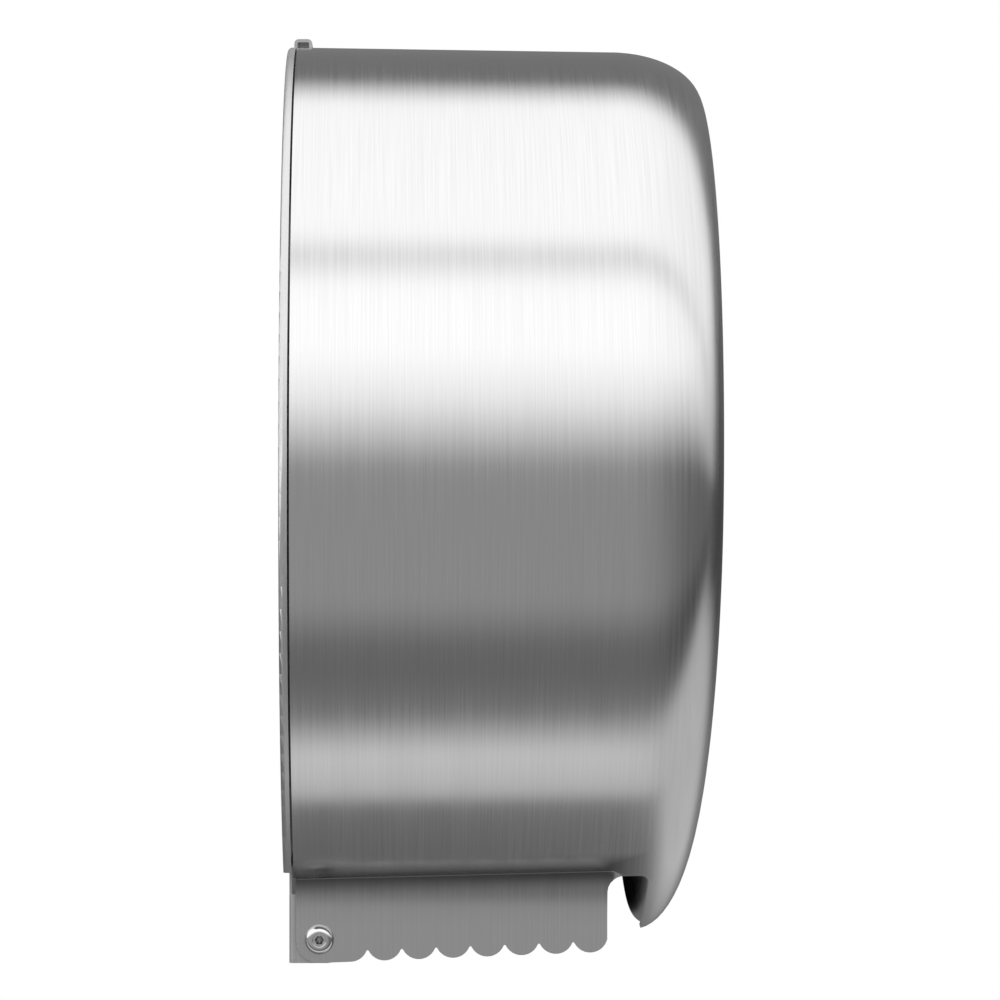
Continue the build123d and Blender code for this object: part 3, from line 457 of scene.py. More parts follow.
def cover_bmesh(sizes):
    form = CoverForm(sizes)
    bm = bmesh.new()
    columns = SKIRT_STEPS + DRUM_STEPS - LOW_STEPS
    patch(bm, LOW_STEPS, BODY_REACHES.index(SKIRT_END), form.body_point)
    patch(bm, columns, len(form.body_reaches) - 1, lambda c, r: form.body_point(c + LOW_STEPS, r))
    patch(bm, columns, len(form.angles), lambda c, r: form.front_point(c + LOW_STEPS, r))
    patch(bm, CHIN_STEPS, len(CORNER_ANGLES), form.chin_point)
    bmesh.ops.remove_doubles(bm, verts=bm.verts, dist=WELD)
    behind = [
        face for face in bm.faces
        if -face.calc_center_median().y < HINGE_REACH - SKIRT_REAR_RADIUS - REAR_SPARE
        and face.calc_center_median().z < form.notch_top
    ]
    bmesh.ops.delete(bm, geom=behind, context="FACES")

    # flat of the skirt, with its hole for the hinge bush
    skirt_edge(bm, form, sizes)
    bmesh.ops.remove_doubles(bm, verts=bm.verts, dist=WELD)
    hole = bmesh.ops.create_circle(bm, segments=HOLE_STEPS, radius=HINGE_HOLE)["verts"]
    for vert in hole:
        vert.co = Vector((form.half, vert.co.x - HINGE_REACH, vert.co.y + HINGE_RISE - form.radius))
    flat = [
        edge for edge in bm.edges
        if len(edge.link_faces) < 2
        and all(abs(v.co.x - form.half) < TOUCH for v in edge.verts)
        and all(v.co.z < form.curve_start + TOUCH for v in edge.verts)
        and (edge.is_wire or abs(edge.verts[0].co.z - edge.verts[1].co.z) < 1e-7)
    ]
    bmesh.ops.triangle_fill(bm, edges=flat, use_beauty=True, use_dissolve=False)

    everything = bm.verts[:] + bm.edges[:] + bm.faces[:]
    bmesh.ops.mirror(bm, geom=everything, axis="X", merge_dist=TOUCH)
    bmesh.ops.remove_doubles(bm, verts=bm.verts, dist=0.5 * WELD)

    # slot that the latch hooks into
    half, near, far = LATCH_SLOT
    for place, normal in (
        ((half, 0, 0), (1, 0, 0)), ((-half, 0, 0), (1, 0, 0)),
        ((0, -near, 0), (0, 1, 0)), ((0, -far, 0), (0, 1, 0)),
    ):
        top = [f for f in bm.faces if f.calc_center_median().z > form.radius * TOP_SHARE]
        top = [f for f in top if -f.calc_center_median().y < 2 * far]
        parts = {v for f in top for v in f.verts} | {e for f in top for e in f.edges} | set(top)
        bmesh.ops.bisect_plane(bm, geom=list(parts), dist=1e-7, plane_co=place, plane_no=normal)
    inside = []
    for face in bm.faces:
        centre = face.calc_center_median()
        if centre.z > 0 and abs(centre.x) < half and near < -centre.y < far:
            inside.append(face)
    bmesh.ops.delete(bm, geom=inside, context="FACES")

    # flat front face, with a margin ring and the sight window
    ring = boundary(bm, lambda co: abs(-co.y - form.front - co.z * form.lean) < TOUCH)
    rim = bmesh.ops.extrude_edge_only(bm, edges=ring)["geom"]
    shrink = 1 - FRONT_MARGIN / form.flat_radius
    for vert in [part for part in rim if isinstance(part, bmesh.types.BMVert)]:
        vert.co.x *= shrink
        vert.co.z *= shrink
        vert.co.y = -form.front - vert.co.z * form.lean
    inner = [part for part in rim if isinstance(part, bmesh.types.BMEdge) and part.is_boundary]
    window = bmesh.ops.create_circle(bm, segments=WINDOW_STEPS, radius=SIGHT_WIDTH / 2)["verts"]
    for vert in window:
        x, z = vert.co.y, vert.co.x
        z += SIGHT_CENTRE + (1 if z > 0 else -1) * (SIGHT_LENGTH - SIGHT_WIDTH) / 2
        vert.co = Vector((x, -form.front - z * form.lean, z))
    window = {edge for vert in window for edge in vert.link_edges}
    bmesh.ops.triangle_fill(bm, edges=inner + list(window), use_beauty=True, use_dissolve=False)

    bmesh.ops.recalc_face_normals(bm, faces=bm.faces)
    top = max(bm.faces, key=lambda face: face.calc_center_median().z)
    if top.normal.z < 0:
        bmesh.ops.reverse_faces(bm, faces=bm.faces)
    for face in bm.faces:
        face.smooth = True
    return bm


# ---- hinge screws -------------------------------------------------------------------------


def run_out(bm, vert, radius, height):
    """Next point of a screw's half section, in the XZ plane."""
    made = bmesh.ops.extrude_vert_indiv(bm, verts=[vert])["verts"][0]
    made.co = Vector((radius, 0, height))
    return made


def screw_bmesh(sizes):
    """Both button-head screws: a domed head with a raised ring round its hexagon socket."""
    head = SCREW_HEAD_RADIUS
    ring = SCREW_RING_RADIUS
    bm = bmesh.new()
    vert = bm.verts.new((SCREW_RADIUS, 0, -SCREW_LENGTH))
    vert = run_out(bm, vert, SCREW_RADIUS, 0)
    vert = run_out(bm, vert, head - SCREW_EDGE, 0)
    for step in range(SCREW_DOME_STEPS + 1):
        angle = pi / 2 * step / SCREW_DOME_STEPS
        radius = ring + (head - ring) * cos(angle)
        vert = run_out(bm, vert, radius, SCREW_RIM + (SCREW_DOME - SCREW_RIM) * sin(angle))
    for inward, drop in SCREW_RING:
        vert = run_out(bm, vert, ring - inward * MM, SCREW_DOME - drop * MM)
    bmesh.ops.spin(
        bm, geom=bm.verts[:] + bm.edges[:], cent=(0, 0, 0), axis=(0, 0, 1), angle=2 * pi,
        steps=SCREW_STEPS, use_merge=True, use_duplicate=False,
    )
    rims = [edge for edge in bm.edges if edge.is_boundary]
    upper = [edge for edge in rims if edge.verts[0].co.z > 0]
    bmesh.ops.edgeloop_fill(bm, edges=[edge for edge in rims if edge.verts[0].co.z < 0])
    socket = bmesh.ops.create_circle(bm, segments=6, radius=SCREW_SOCKET)["verts"]
    bmesh.ops.translate(bm, verts=socket, vec=(0, 0, upper[0].verts[0].co.z))
    hexagon = list({edge for vert in socket for edge in vert.link_edges})
    bmesh.ops.triangle_fill(bm, edges=upper + hexagon, use_beauty=True, use_dissolve=False)
    walls = bmesh.ops.extrude_edge_only(bm, edges=hexagon)["geom"]
    deep = [part for part in walls if isinstance(part, bmesh.types.BMVert)]
    bmesh.ops.translate(bm, verts=deep, vec=(0, 0, -SCREW_SOCKET_DEPTH))
    # the drill's cone at the bottom of the socket
    rims = [edge for edge in bm.edges if edge.is_boundary]
    cone = bmesh.ops.extrude_edge_only(bm, edges=rims)["geom"]
    for vert in [part for part in cone if isinstance(part, bmesh.types.BMVert)]:
        x, y = vert.co.x / SCREW_CONE_END, vert.co.y / SCREW_CONE_END
        vert.co = Vector((x, y, vert.co.z - SCREW_SOCKET))
    bmesh.ops.edgeloop_fill(bm, edges=[edge for edge in bm.edges if edge.is_boundary])
    bmesh.ops.recalc_face_normals(bm, faces=bm.faces)
    for face in bm.faces:
        face.smooth = True
    bmesh.ops.rotate(bm, verts=bm.verts, matrix=Matrix.Rotation(pi / 2, 3, "Y"))
    place = (sizes.skirt_half_width + SCREW_PLAY, -HINGE_REACH, HINGE_RISE - sizes.drum_radius)
    bmesh.ops.translate(bm, verts=bm.verts, vec=place)
    bmesh.ops.mirror(bm, geom=bm.verts[:] + bm.edges[:] + bm.faces[:], axis="X", merge_dist=0)
    bmesh.ops.recalc_face_normals(bm, faces=bm.faces)
    return bm


def new_piece(name, bm, material):
    """Object at the origin that holds the mesh."""
    mesh = bpy.data.meshes.new(name)
    bm.to_mesh(mesh)
    bm.free()
    mesh.materials.append(material)
    piece = bpy.data.objects.new(name, mesh)
    bpy.context.scene.collection.objects.link(piece)
    return piece


def merged_copy(name, node, material):
    """Copy of a CAD solid whose triangles are joined, so that bends shade smoothly."""
    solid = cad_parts[node]
    bm = bmesh.new()
    bm.from_mesh(solid.data)
    bm.transform(solid.matrix_world)
    bmesh.ops.remove_doubles(bm, verts=bm.verts, dist=0.001 * MM)
    bmesh.ops.recalc_face_normals(bm, faces=bm.faces)
    for face in bm.faces:
        face.smooth = True
    for edge in bm.edges:
        edge.smooth = edge.calc_face_angle(0.0) < radians(35)
    piece = new_piece(name, bm, material)
    shading = piece.modifiers.new("shading", "WEIGHTED_NORMAL")
    shading.keep_sharp = True
    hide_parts(node)
    return piece


# ---- materials ----------------------------------------------------------------------------


def add(tree, kind, inputs=(), **settings):
    """Node of that kind, with its settings, and its inputs set or linked by (socket, value)."""
    node = tree.nodes.new(kind)
    for setting, value in settings.items():
        setattr(node, setting, value)
    for socket, value in inputs:
        if isinstance(value, bpy.types.NodeSocket):
            tree.links.new(value, node.inputs[socket])
        else:
            node.inputs[socket].default_value = value
    return node


def new_material(name):
    """Material with an empty tree, and its Principled shader already at the output."""
    material = bpy.data.materials.new(name)
    material.use_nodes = True
    tree = material.node_tree
    tree.nodes.clear()
    shader = add(tree, "ShaderNodeBsdfPrincipled")
    add(tree, "ShaderNodeOutputMaterial", [("Surface", shader.outputs[0])])
    return material, tree, shader


def shade(tree, noise, colour, spread):
    """Colour that a noise makes darker or lighter by the given share."""
    factor = add(tree, "ShaderNodeMapRange", enumerate((noise, *NOISE_SPAN, 0.0, 1.0))).outputs[0]
    dark = tuple(c * (1 - spread) for c in colour[:3]) + (1,)
    light = tuple(min(1.0, c * (1 + spread)) for c in colour[:3]) + (1,)
    return add(
        tree, "ShaderNodeMix", [(0, factor), (6, dark), (7, light)], data_type="RGBA",
    ).outputs[2]


def brushed_stainless_cover(colour):
    """Stainless steel 304, deep drawn and then brushed while it turns.

    The brush leaves hairlines that run round the drum, so lamps show as streaks along the
    reach and stay sharp round the drum.
    """
    material, tree, shader = new_material("stainless_brushed_round")
    place = add(tree, "ShaderNodeTexCoord").outputs["Object"]
    parts = add(tree, "ShaderNodeSeparateXYZ", [(0, place)]).outputs
    flat = add(tree, "ShaderNodeCombineXYZ", [(0, parts["X"]), (2, parts["Z"])]).outputs[0]
    radius = add(tree, "ShaderNodeVectorMath", [(0, flat)], operation="LENGTH").outputs["Value"]
    around = add(
        tree, "ShaderNodeMath", [(0, parts["X"]), (1, parts["Z"])], operation="ARCTAN2",
    ).outputs[0]
    # distance over the sheet, from the middle of the front face back along the drum
    drum = add(tree, "ShaderNodeMath", [(0, radius), (1, DRUM_EDGE)], operation="MINIMUM").outputs[0]
    along = add(tree, "ShaderNodeMath", [(0, drum), (1, parts["Y"])], operation="SUBTRACT").outputs[0]

    # hairlines: real ones are 0.05 to 0.1 mm wide, drawn 0.5 mm wide so that they show
    lines = add(tree, "ShaderNodeCombineXYZ", [(0, along), (1, around)]).outputs[0]
    lines = add(
        tree, "ShaderNodeMapping",
        [(0, lines), ("Scale", (1 / HAIRLINE[0], BRUSH_RADIUS / HAIRLINE[1], 1))],
    ).outputs[0]
    hair = add(
        tree, "ShaderNodeTexNoise", [("Vector", lines), ("Scale", 1.0), ("Detail", 3.0)],
    ).outputs[0]
    # broad bands where the belt pressed more, 8 mm wide
    bands = add(tree, "ShaderNodeCombineXYZ", [(0, along), (1, around)]).outputs[0]
    bands = add(
        tree, "ShaderNodeMapping",
        [(0, bands), ("Scale", (1 / BELT_BAND[0], BRUSH_RADIUS / BELT_BAND[1], 1))],
    ).outputs[0]
    band = add(
        tree, "ShaderNodeTexNoise", [("Vector", bands), ("Scale", 1.0), ("Detail", 1.0)],
    ).outputs[0]
    tint = shade(tree, hair, colour, 0.045)
    # painted shade: the colour turns dark in a band along the crease between drum and skirt
    height = add(
        tree, "ShaderNodeMath", [(0, parts["Y"]), (1, CREASE_SHADE_RISE), (2, parts["Z"])],
        operation="MULTIPLY_ADD",
    ).outputs[0]
    height = add(tree, "ShaderNodeMath", [(0, height), (1, CREASE_SHADE_HEIGHT)], operation="ADD").outputs[0]
    height = add(tree, "ShaderNodeMath", [(0, height)], operation="ABSOLUTE").outputs[0]
    crease = add(
        tree, "ShaderNodeMapRange",
        enumerate((height, *CREASE_SHADE_SPAN, CREASE_SHADE_LEAST, 1.0)), interpolation_type="SMOOTHSTEP",
    ).outputs[0]
    ahead = add(
        tree, "ShaderNodeMapRange", enumerate((parts["Y"], *CREASE_SHADE_FADE, 1.0, 0.0)),
    ).outputs[0]
    crease = add(tree, "ShaderNodeMath", [(0, crease), (1, ahead)], operation="MAXIMUM").outputs[0]
    tint = add(
        tree, "ShaderNodeMix",
        [(0, crease), (6, tuple(part * CREASE_SHADE_COLOUR for part in colour[:3]) + (1,)), (7, tint)],
        data_type="RGBA",
    ).outputs[2]
    tree.links.new(tint, shader.inputs["Base Color"])
    fine = add(
        tree, "ShaderNodeMapRange", enumerate((hair, *NOISE_SPAN, -0.025, 0.025)),
    ).outputs[0]
    broad = add(
        tree, "ShaderNodeMapRange", enumerate((band, *NOISE_SPAN, 0.215, 0.245)),
    ).outputs[0]
    rough = add(tree, "ShaderNodeMath", [(0, fine), (1, broad)], operation="ADD").outputs[0]
    tree.links.new(rough, shader.inputs["Roughness"])
    bump = add(
        tree, "ShaderNodeBump", [("Strength", 0.05), ("Distance", 0.02 * MM), ("Height", hair)],
    ).outputs[0]
    tree.links.new(bump, shader.inputs["Normal"])
    # the highlight spreads across the hairlines: along the reach on the drum, and towards
    # the spindle on the front face
    across = add(
        tree, "ShaderNodeCombineXYZ", [(0, parts["X"]), (1, radius), (2, parts["Z"])],
    ).outputs[0]
    across = add(
        tree, "ShaderNodeVectorTransform", [(0, across)],
        vector_type="VECTOR", convert_from="OBJECT", convert_to="WORLD",
    ).outputs[0]
    across = add(tree, "ShaderNodeVectorMath", [(0, across)], operation="NORMALIZE").outputs[0]
    tree.links.new(across, shader.inputs["Tangent"])
    shader.inputs["Metallic"].default_value = 1.0
    shader.inputs["Anisotropic"].default_value = 0.8
    return material


def grained_metal(name, colour, roughness, stretch, spread=0.05, anisotropic=0.0):
    """Metal with a fine grain; stretch gives the grain's size in mm along X, Y and Z."""
    material, tree, shader = new_material(name)
    place = add(tree, "ShaderNodeTexCoord").outputs["Object"]
    scale = tuple(1 / (size * MM) for size in stretch)
    grain = add(tree, "ShaderNodeMapping", [(0, place), ("Scale", scale)]).outputs[0]
    grain = add(
        tree, "ShaderNodeTexNoise", [("Vector", grain), ("Scale", 1.0), ("Detail", 3.0)],
    ).outputs[0]
    clouds = add(
        tree, "ShaderNodeTexNoise", [("Vector", place), ("Scale", 60.0), ("Detail", 2.0)],
    ).outputs[0]
    tint = shade(tree, grain, colour, spread)
    tree.links.new(tint, shader.inputs["Base Color"])
    fine = add(
        tree, "ShaderNodeMapRange", enumerate((grain, *NOISE_SPAN, -0.04, 0.04)),
    ).outputs[0]
    broad = add(
        tree, "ShaderNodeMapRange",
        enumerate((clouds, *NOISE_SPAN, roughness - 0.03, roughness + 0.03)),
    ).outputs[0]
    rough = add(tree, "ShaderNodeMath", [(0, fine), (1, broad)], operation="ADD").outputs[0]
    tree.links.new(rough, shader.inputs["Roughness"])
    bump = add(
        tree, "ShaderNodeBump", [("Strength", 0.08), ("Distance", 0.02 * MM), ("Height", grain)],
    ).outputs[0]
    tree.links.new(bump, shader.inputs["Normal"])
    shader.inputs["Metallic"].default_value = 1.0
    shader.inputs["Anisotropic"].default_value = anisotropic
    return material


def moulded_plastic(name, colour, roughness, grain):
    """Injection-moulded plastic with a spark-eroded grain of that size in mm."""
    material, tree, shader = new_material(name)
    place = add(tree, "ShaderNodeTexCoord").outputs["Object"]
    pits = add(
        tree, "ShaderNodeTexNoise",
        [("Vector", place), ("Scale", 1 / (grain * MM)), ("Detail", 2.0)],
    ).outputs[0]
    flow = add(
        tree, "ShaderNodeTexNoise", [("Vector", place), ("Scale", 35.0), ("Detail", 3.0)],
    ).outputs[0]
    tint = shade(tree, flow, colour, 0.025)
    tree.links.new(tint, shader.inputs["Base Color"])
    rough = add(
        tree, "ShaderNodeMapRange",
        enumerate((flow, *NOISE_SPAN, roughness - 0.04, roughness + 0.04)),
    ).outputs[0]
    tree.links.new(rough, shader.inputs["Roughness"])
    bump = add(
        tree, "ShaderNodeBump", [("Strength", 0.25), ("Distance", 0.05 * MM), ("Height", pits)],
    ).outputs[0]
    tree.links.new(bump, shader.inputs["Normal"])
    return material


def smoked_polycarbonate(colour):
    """Moulded polycarbonate with a smoke tint: you look into it, and its skin is glossy."""
    material, tree, shader = new_material("polycarbonate_smoked")
    place = add(tree, "ShaderNodeTexCoord").outputs["Object"]
    scuffs = add(
        tree, "ShaderNodeTexNoise", [("Vector", place), ("Scale", 220.0), ("Detail", 4.0)],
    ).outputs[0]
    tint = shade(tree, scuffs, colour, 0.03)
    tree.links.new(tint, shader.inputs["Base Color"])
    rough = add(tree, "ShaderNodeMapRange", enumerate((scuffs, 0.4, 0.8, 0.05, 0.12))).outputs[0]
    tree.links.new(rough, shader.inputs["Roughness"])
    shader.inputs["IOR"].default_value = 1.585
    shader.inputs["Transmission Weight"].default_value = 0.6
    return material


# ---- stage --------------------------------------------------------------------------------

# Brightness of the studio round the dispenser, as (degrees, brightness). The angle goes from
# the camera's side, level, up over the top; negative is down and under.
TENT = (
    (-180, 0.18), (-100, 0.20), (-85, 0.24), (-81, 0.78), (-68, 0.95), (-57, 0.26),
    (-46, 0.205), (-38, 0.225), (-28, 0.44), (6, 0.42), (22, 1.40), (34, 1.72), (52, 1.72),
    (60, 1.05), (66, 1.66), (115, 1.60), (129, 0.23), (180, 0.21),
)
TENT_TOP = 1.8  # brightness at the ramp's white
FRONT_FLOOR = 0.72  # the bright floor in front of the dispenser
TENT_RADIUS = 3.0
# the dimmer side that the front face looks at: shares of the tent's radius and brightness
DIM_HEIGHTS = (0.1, 0.45)
DIM_LEVELS = (0.45, 0.88)
DIM_REACHES = (-0.75, -0.2)
# where the bright floor ends: shares of the tent's radius, and of a turn
FLOOR_REACHES = (-0.5, -0.15)
FLOOR_HEIGHTS = (-0.34, -0.2)
FLOOR_TURN = (0.31, 0.35)


def shares(pair, whole):
    return tuple(part * whole for part in pair)


def tent_material():
    """Fabric light tent: a smooth run of bright and dim panels, only for what is glossy."""
    material = bpy.data.materials.new("tent_fabric")
    material.use_nodes = True
    tree = material.node_tree
    tree.nodes.clear()
    place = add(tree, "ShaderNodeTexCoord").outputs["Object"]
    parts = add(tree, "ShaderNodeSeparateXYZ", [(0, place)]).outputs
    back = add(tree, "ShaderNodeMath", [(0, parts["X"]), (1, -1.0)], operation="MULTIPLY").outputs[0]
    angle = add(tree, "ShaderNodeMath", [(0, parts["Z"]), (1, back)], operation="ARCTAN2").outputs[0]
    turn = add(tree, "ShaderNodeMapRange", enumerate((angle, -pi, pi, 0.0, 1.0))).outputs[0]
    ramp = add(tree, "ShaderNodeValToRGB", [(0, turn)])
    stops = ramp.color_ramp.elements
    while len(stops) > 1:
        stops.remove(stops[-1])
    for number, (at, bright) in enumerate(TENT):
        stop = stops[0] if number == 0 else stops.new((at + 180) / 360)
        stop.position = (at + 180) / 360
        level = bright / TENT_TOP
        stop.color = (level, level, level, 1)
    # the side that the front face looks at is dimmer, most of all level with it
    span = (*shares(DIM_HEIGHTS, TENT_RADIUS), *shares(DIM_LEVELS, TENT_TOP))
    least = add(tree, "ShaderNodeMapRange", enumerate((parts["Z"], *span))).outputs[0]
    forward = add(
        tree, "ShaderNodeMapRange",
        enumerate((parts["Y"], *shares(DIM_REACHES, TENT_RADIUS), 0.0, 1.0)),
    ).outputs[0]
    strength = add(
        tree, "ShaderNodeMapRange", enumerate((forward, 0.0, 1.0, least, TENT_TOP)),
    ).outputs[0]
    level = add(
        tree, "ShaderNodeMath", [(0, ramp.outputs[0]), (1, strength)], operation="MULTIPLY",
    ).outputs[0]
    ahead = add(
        tree, "ShaderNodeMapRange",
        enumerate((parts["Y"], *shares(FLOOR_REACHES, TENT_RADIUS), 1.0, 0.0)),
    ).outputs[0]
    below = add(
        tree, "ShaderNodeMapRange",
        enumerate((parts["Z"], *shares(FLOOR_HEIGHTS, TENT_RADIUS), 1.0, 0.0)),
    ).outputs[0]
    under = add(tree, "ShaderNodeMapRange", enumerate((turn, *FLOOR_TURN, 1.0, 0.0))).outputs[0]
    floor = add(tree, "ShaderNodeMath", [(0, ahead), (1, below)], operation="MULTIPLY").outputs[0]
    floor = add(tree, "ShaderNodeMath", [(0, floor), (1, under)], operation="MULTIPLY").outputs[0]
    level = add(
        tree, "ShaderNodeMapRange", enumerate((floor, 0.0, 1.0, level, FRONT_FLOOR)),
    ).outputs[0]
    glow = add(tree, "ShaderNodeEmission", [("Strength", level)])
    add(tree, "ShaderNodeOutputMaterial", [("Surface", glow.outputs[0])])
    return material


def lamp(name, place, width, height, power):
    """Softbox that faces the dispenser; the tent stands in for it in reflections."""
    data = bpy.data.lights.new(name, "AREA")
    data.shape = "RECTANGLE"
    data.size, data.size_y = width, height
    data.energy = power
    box = bpy.data.objects.new(name, data)
    bpy.context.scene.collection.objects.link(box)
    box.location = place
    box.rotation_mode = "QUATERNION"
    box.rotation_quaternion = (-Vector(place)).to_track_quat("-Z", "Y")
    box.visible_camera = False
    box.visible_glossy = False


def studio_world():
    """White where it is looked at, plain grey where it lights the dispenser."""
    world = bpy.data.worlds.new("studio")
    world.use_nodes = True
    tree = world.node_tree
    tree.nodes.clear()
    ray = add(tree, "ShaderNodeLightPath").outputs
    seen = add(
        tree, "ShaderNodeMath",
        [(0, ray["Is Camera Ray"]), (1, ray["Is Glossy Ray"])], operation="MAXIMUM",
    ).outputs[0]
    seen = add(
        tree, "ShaderNodeMath", [(0, seen), (1, ray["Is Transmission Ray"])], operation="MAXIMUM",
    ).outputs[0]
    strength = add(
        tree, "ShaderNodeMapRange", enumerate((seen, 0.0, 1.0, WORLD_FILL, 1.0)),
    ).outputs[0]
    back = add(tree, "ShaderNodeBackground", [("Color", (1, 1, 1, 1)), ("Strength", strength)])
    add(tree, "ShaderNodeOutputWorld", [("Surface", back.outputs[0])])
    return world


# ---- operators ----------------------------------------------------------------------------


def paint(node, material):
    """Gives a CAD node's object that material."""
    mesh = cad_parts[node].data
    mesh.materials.clear()
    mesh.materials.append(material)


class DISPENSER_OT_cover(Operator):
    """Draw the cover's sheet over its CAD solid"""

    bl_idname = "dispenser.cover"
    bl_label = "Cover"

    def execute(self, context):
        sizes = context.scene.dispenser_sizes
        colour = (*context.scene.dispenser_colours.cover, 1)
        material = brushed_stainless_cover(colour)
        cover = new_piece("cover_sheet", cover_bmesh(sizes), material)
        wall = cover.modifiers.new("sheet", "SOLIDIFY")
        wall.thickness = sizes.sheet
        wall.offset = -1.0
        wall.use_even_offset = True
        edge = cover.modifiers.new("deburred", "BEVEL")
        edge.width = EDGE_ROUND
        edge.segments = 2
        edge.limit_method = "ANGLE"
        edge.angle_limit = radians(40)
        edge.harden_normals = True
        cover.modifiers.new("shading", "WEIGHTED_NORMAL")
        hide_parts("cover_shell")
        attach(cover, "cover")
        return {"FINISHED"}


class DISPENSER_OT_plate(Operator):
    """Finish the wall plate, the latch and their rivets"""

    bl_idname = "dispenser.plate"
    bl_label = "Wall plate and latch"

    def execute(self, context):
        colour = (*context.scene.dispenser_colours.plate, 1)
        # stainless 430, rolled and satin finished: its grain stands upright, 0.4 mm wide as drawn
        satin = grained_metal("stainless_satin_rolled", colour, 0.44, (0.4, 0.4, 18.0))
        paint("back_plate", satin)
        # the same strip, bent: the grain runs along the strip
        strip = grained_metal("stainless_satin_strip", colour, 0.24, (0.4, 4.0, 14.0))
        paint("latch_hook", strip)
        # cold-headed stainless rivets: dull, with fine scuffs of 0.5 mm
        headed = grained_metal("stainless_cold_headed", linear("#BDBDBB"), 0.32, (0.5, 0.5, 0.5))
        paint("latch_rivets", headed)
        paint("bracket_rivets", headed)
        return {"FINISHED"}


class DISPENSER_OT_hinge(Operator):
    """Finish the hinge screws, nuts and bushes"""

    bl_idname = "dispenser.hinge"
    bl_label = "Hinge"

    def execute(self, context):
        colour = (*context.scene.dispenser_colours.screw, 1)
        # stainless A2, polished: nearly a mirror, with polishing marks of 0.6 mm
        polished = grained_metal("stainless_polished", colour, 0.1, (0.6, 0.6, 0.6), spread=0.03)
        screws = new_piece("hinge_screw_heads", screw_bmesh(context.scene.dispenser_sizes), polished)
        edge = screws.modifiers.new("edges", "BEVEL")
        edge.width = SCREW_ROUND
        edge.segments = 2
        edge.limit_method = "ANGLE"
        edge.angle_limit = radians(45)
        edge.harden_normals = True
        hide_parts("hinge_screws")
        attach(screws, "wall_plate")
        # steel, zinc plated and blue passivated: greyish, slightly cloudy crystals of 0.3 mm
        zinc = grained_metal("zinc_plated_steel", linear("#B4B8BB"), 0.36, (0.3, 0.3, 0.3), 0.08)
        for node in ("hinge_nuts", "axle_bracket", "end_washer", "axle_nut"):
            paint(node, zinc)
        # acetal, moulded: waxy white with a fine grain
        acetal = moulded_plastic("acetal_moulded", linear("#E4E4DF"), 0.42, 0.25)
        for node in ("hinge_bushes", "rear_bush", "front_bush"):
            paint(node, acetal)
        return {"FINISHED"}


class DISPENSER_OT_spindle(Operator):
    """Finish the axle, springs and core spool"""

    bl_idname = "dispenser.spindle"
    bl_label = "Spindle and spool"

    def execute(self, context):
        colour = (*context.scene.dispenser_colours.spool, 1)
        # free-cutting steel, turned: fine rings 0.25 mm apart along the axle
        turned = grained_metal("steel_turned", linear("#BFC0C1"), 0.26, (6.0, 0.25, 6.0))
        paint("spindle_axle", turned)
        # spring steel, hard drawn: darker, drawn streaks
        drawn = grained_metal("spring_steel_drawn", linear("#8E8F91"), 0.3, (0.4, 0.4, 1.2))
        for node in ("brake_washer", "lens_push_nuts"):
            paint(node, drawn)
        # the latch lifts the spring's foot and presses it against the plate's tab
        spring = merged_copy("latch_spring_coil", "latch_spring", drawn)
        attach(spring, "wall_plate")
        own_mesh(spring)
        # ABS, moulded, spark-eroded grain of 0.4 mm: soft grey sheen
        paint("core_spool", moulded_plastic("abs_grey_moulded", colour, 0.45, 0.4))
        cap = tuple(part * CAP_SHADE for part in colour[:3]) + (1,)
        paint("spool_cap", moulded_plastic("abs_grey_cap", cap, 0.38, 0.4))
        return {"FINISHED"}


class DISPENSER_OT_sight(Operator):
    """Finish the sight window"""

    bl_idname = "dispenser.sight"
    bl_label = "Sight window"

    def execute(self, context):
        colour = (*context.scene.dispenser_colours.lens, 1)
        paint("sight_lens", smoked_polycarbonate(colour))
        # polypropylene, moulded black, grain of 0.5 mm
        paint("lens_frame", moulded_plastic("polypropylene_black", linear("#27282A"), 0.5, 0.5))
        return {"FINISHED"}


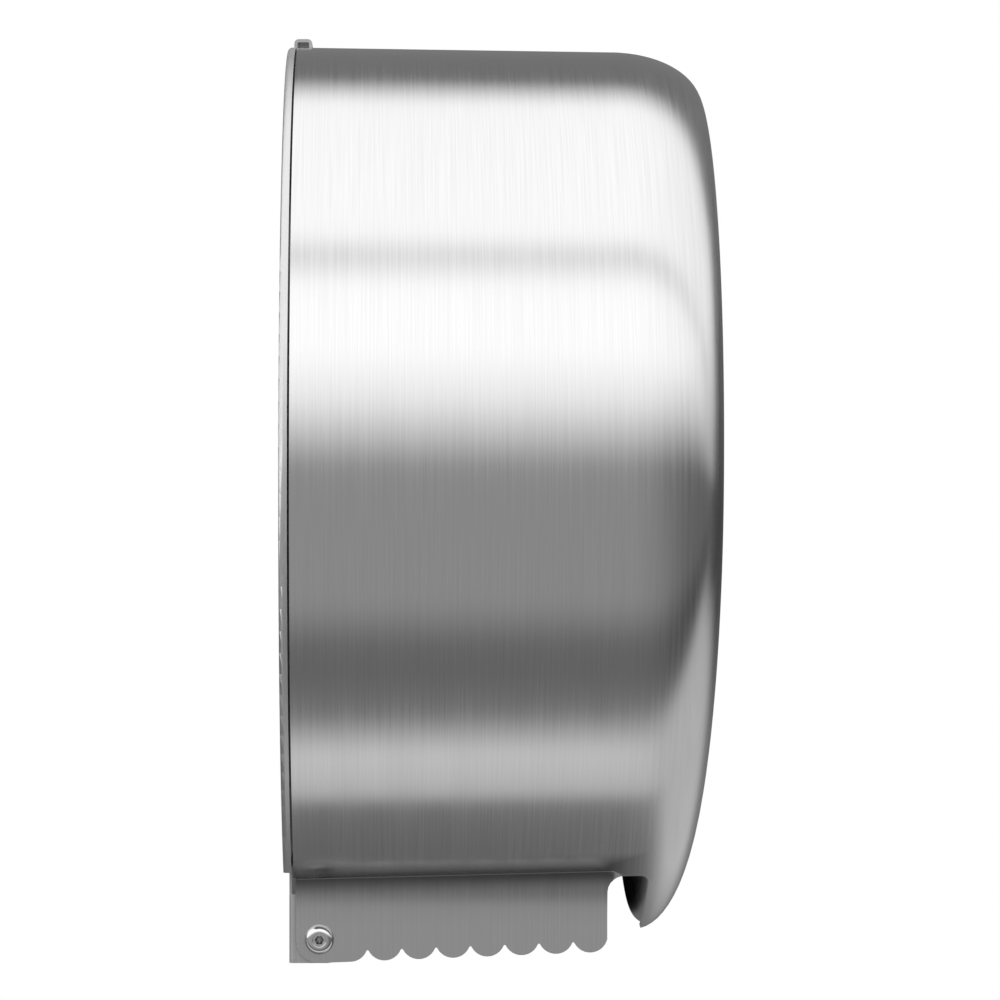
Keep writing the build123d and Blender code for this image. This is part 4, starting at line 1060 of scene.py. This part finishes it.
class DISPENSER_OT_stage(Operator):
    """Set up the camera, lamps, floor and background"""

    bl_idname = "dispenser.stage"
    bl_label = "Stage"

    def execute(self, context):
        scene = context.scene
        scene.view_settings.view_transform = "Standard"
        data = bpy.data.cameras.new("camera")
        data.lens = CAMERA_LENS
        # the photo is square on to the side, with the dispenser off the middle
        data.shift_x, data.shift_y = CAMERA_SHIFT
        camera = bpy.data.objects.new("camera", data)
        scene.collection.objects.link(camera)
        camera.location = CAMERA_PLACE
        camera.rotation_euler = (pi / 2, 0, -pi / 2)
        scene.camera = camera
        scene.world = studio_world()

        for values in LAMPS:
            lamp(*values)

        bm = bmesh.new()
        bmesh.ops.create_circle(bm, cap_ends=True, segments=96, radius=FLOOR_RADIUS)
        bmesh.ops.translate(bm, verts=bm.verts, vec=(0, 0, FLOOR_HEIGHT))
        floor = new_piece("floor", bm, moulded_plastic("floor_vinyl", linear("#F4F4F2"), 0.6, 3.0))
        floor.visible_glossy = False

        bm = bmesh.new()
        bmesh.ops.create_uvsphere(bm, u_segments=96, v_segments=48, radius=TENT_RADIUS)
        for face in bm.faces:
            face.smooth = True
        tent = new_piece("tent", bm, tent_material())
        tent.visible_camera = False
        tent.visible_diffuse = False
        tent.visible_transmission = False
        tent.visible_shadow = False
        return {"FINISHED"}


class DISPENSER_PT_panel(Panel):
    """Sizes, colours and pieces of the dispenser"""

    bl_idname = "DISPENSER_PT_panel"
    bl_label = "Dispenser"
    bl_space_type = "VIEW_3D"
    bl_region_type = "UI"
    bl_category = "Dispenser"

    def draw(self, context):
        column = self.layout.column()
        for group in (context.scene.dispenser_sizes, context.scene.dispenser_colours):
            for name in group.__annotations__:
                column.prop(group, name)
        for operator in OPERATORS:
            column.operator(operator.bl_idname)


OPERATORS = (
    DISPENSER_OT_cover,
    DISPENSER_OT_plate,
    DISPENSER_OT_hinge,
    DISPENSER_OT_spindle,
    DISPENSER_OT_sight,
    DISPENSER_OT_stage,
)
CLASSES = (DispenserSizes, DispenserColours, *OPERATORS, DISPENSER_PT_panel)


def register():
    for item in CLASSES:
        bpy.utils.register_class(item)
    bpy.types.Scene.dispenser_sizes = PointerProperty(type=DispenserSizes)
    bpy.types.Scene.dispenser_colours = PointerProperty(type=DispenserColours)


def unregister():
    del bpy.types.Scene.dispenser_colours
    del bpy.types.Scene.dispenser_sizes
    for item in reversed(CLASSES):
        bpy.utils.unregister_class(item)


def main():
    register()
    bpy.ops.dispenser.stage()
    bpy.ops.dispenser.cover()
    bpy.ops.dispenser.plate()
    bpy.ops.dispenser.hinge()
    bpy.ops.dispenser.spindle()
    bpy.ops.dispenser.sight()


if __name__ == "__main__":
    main()
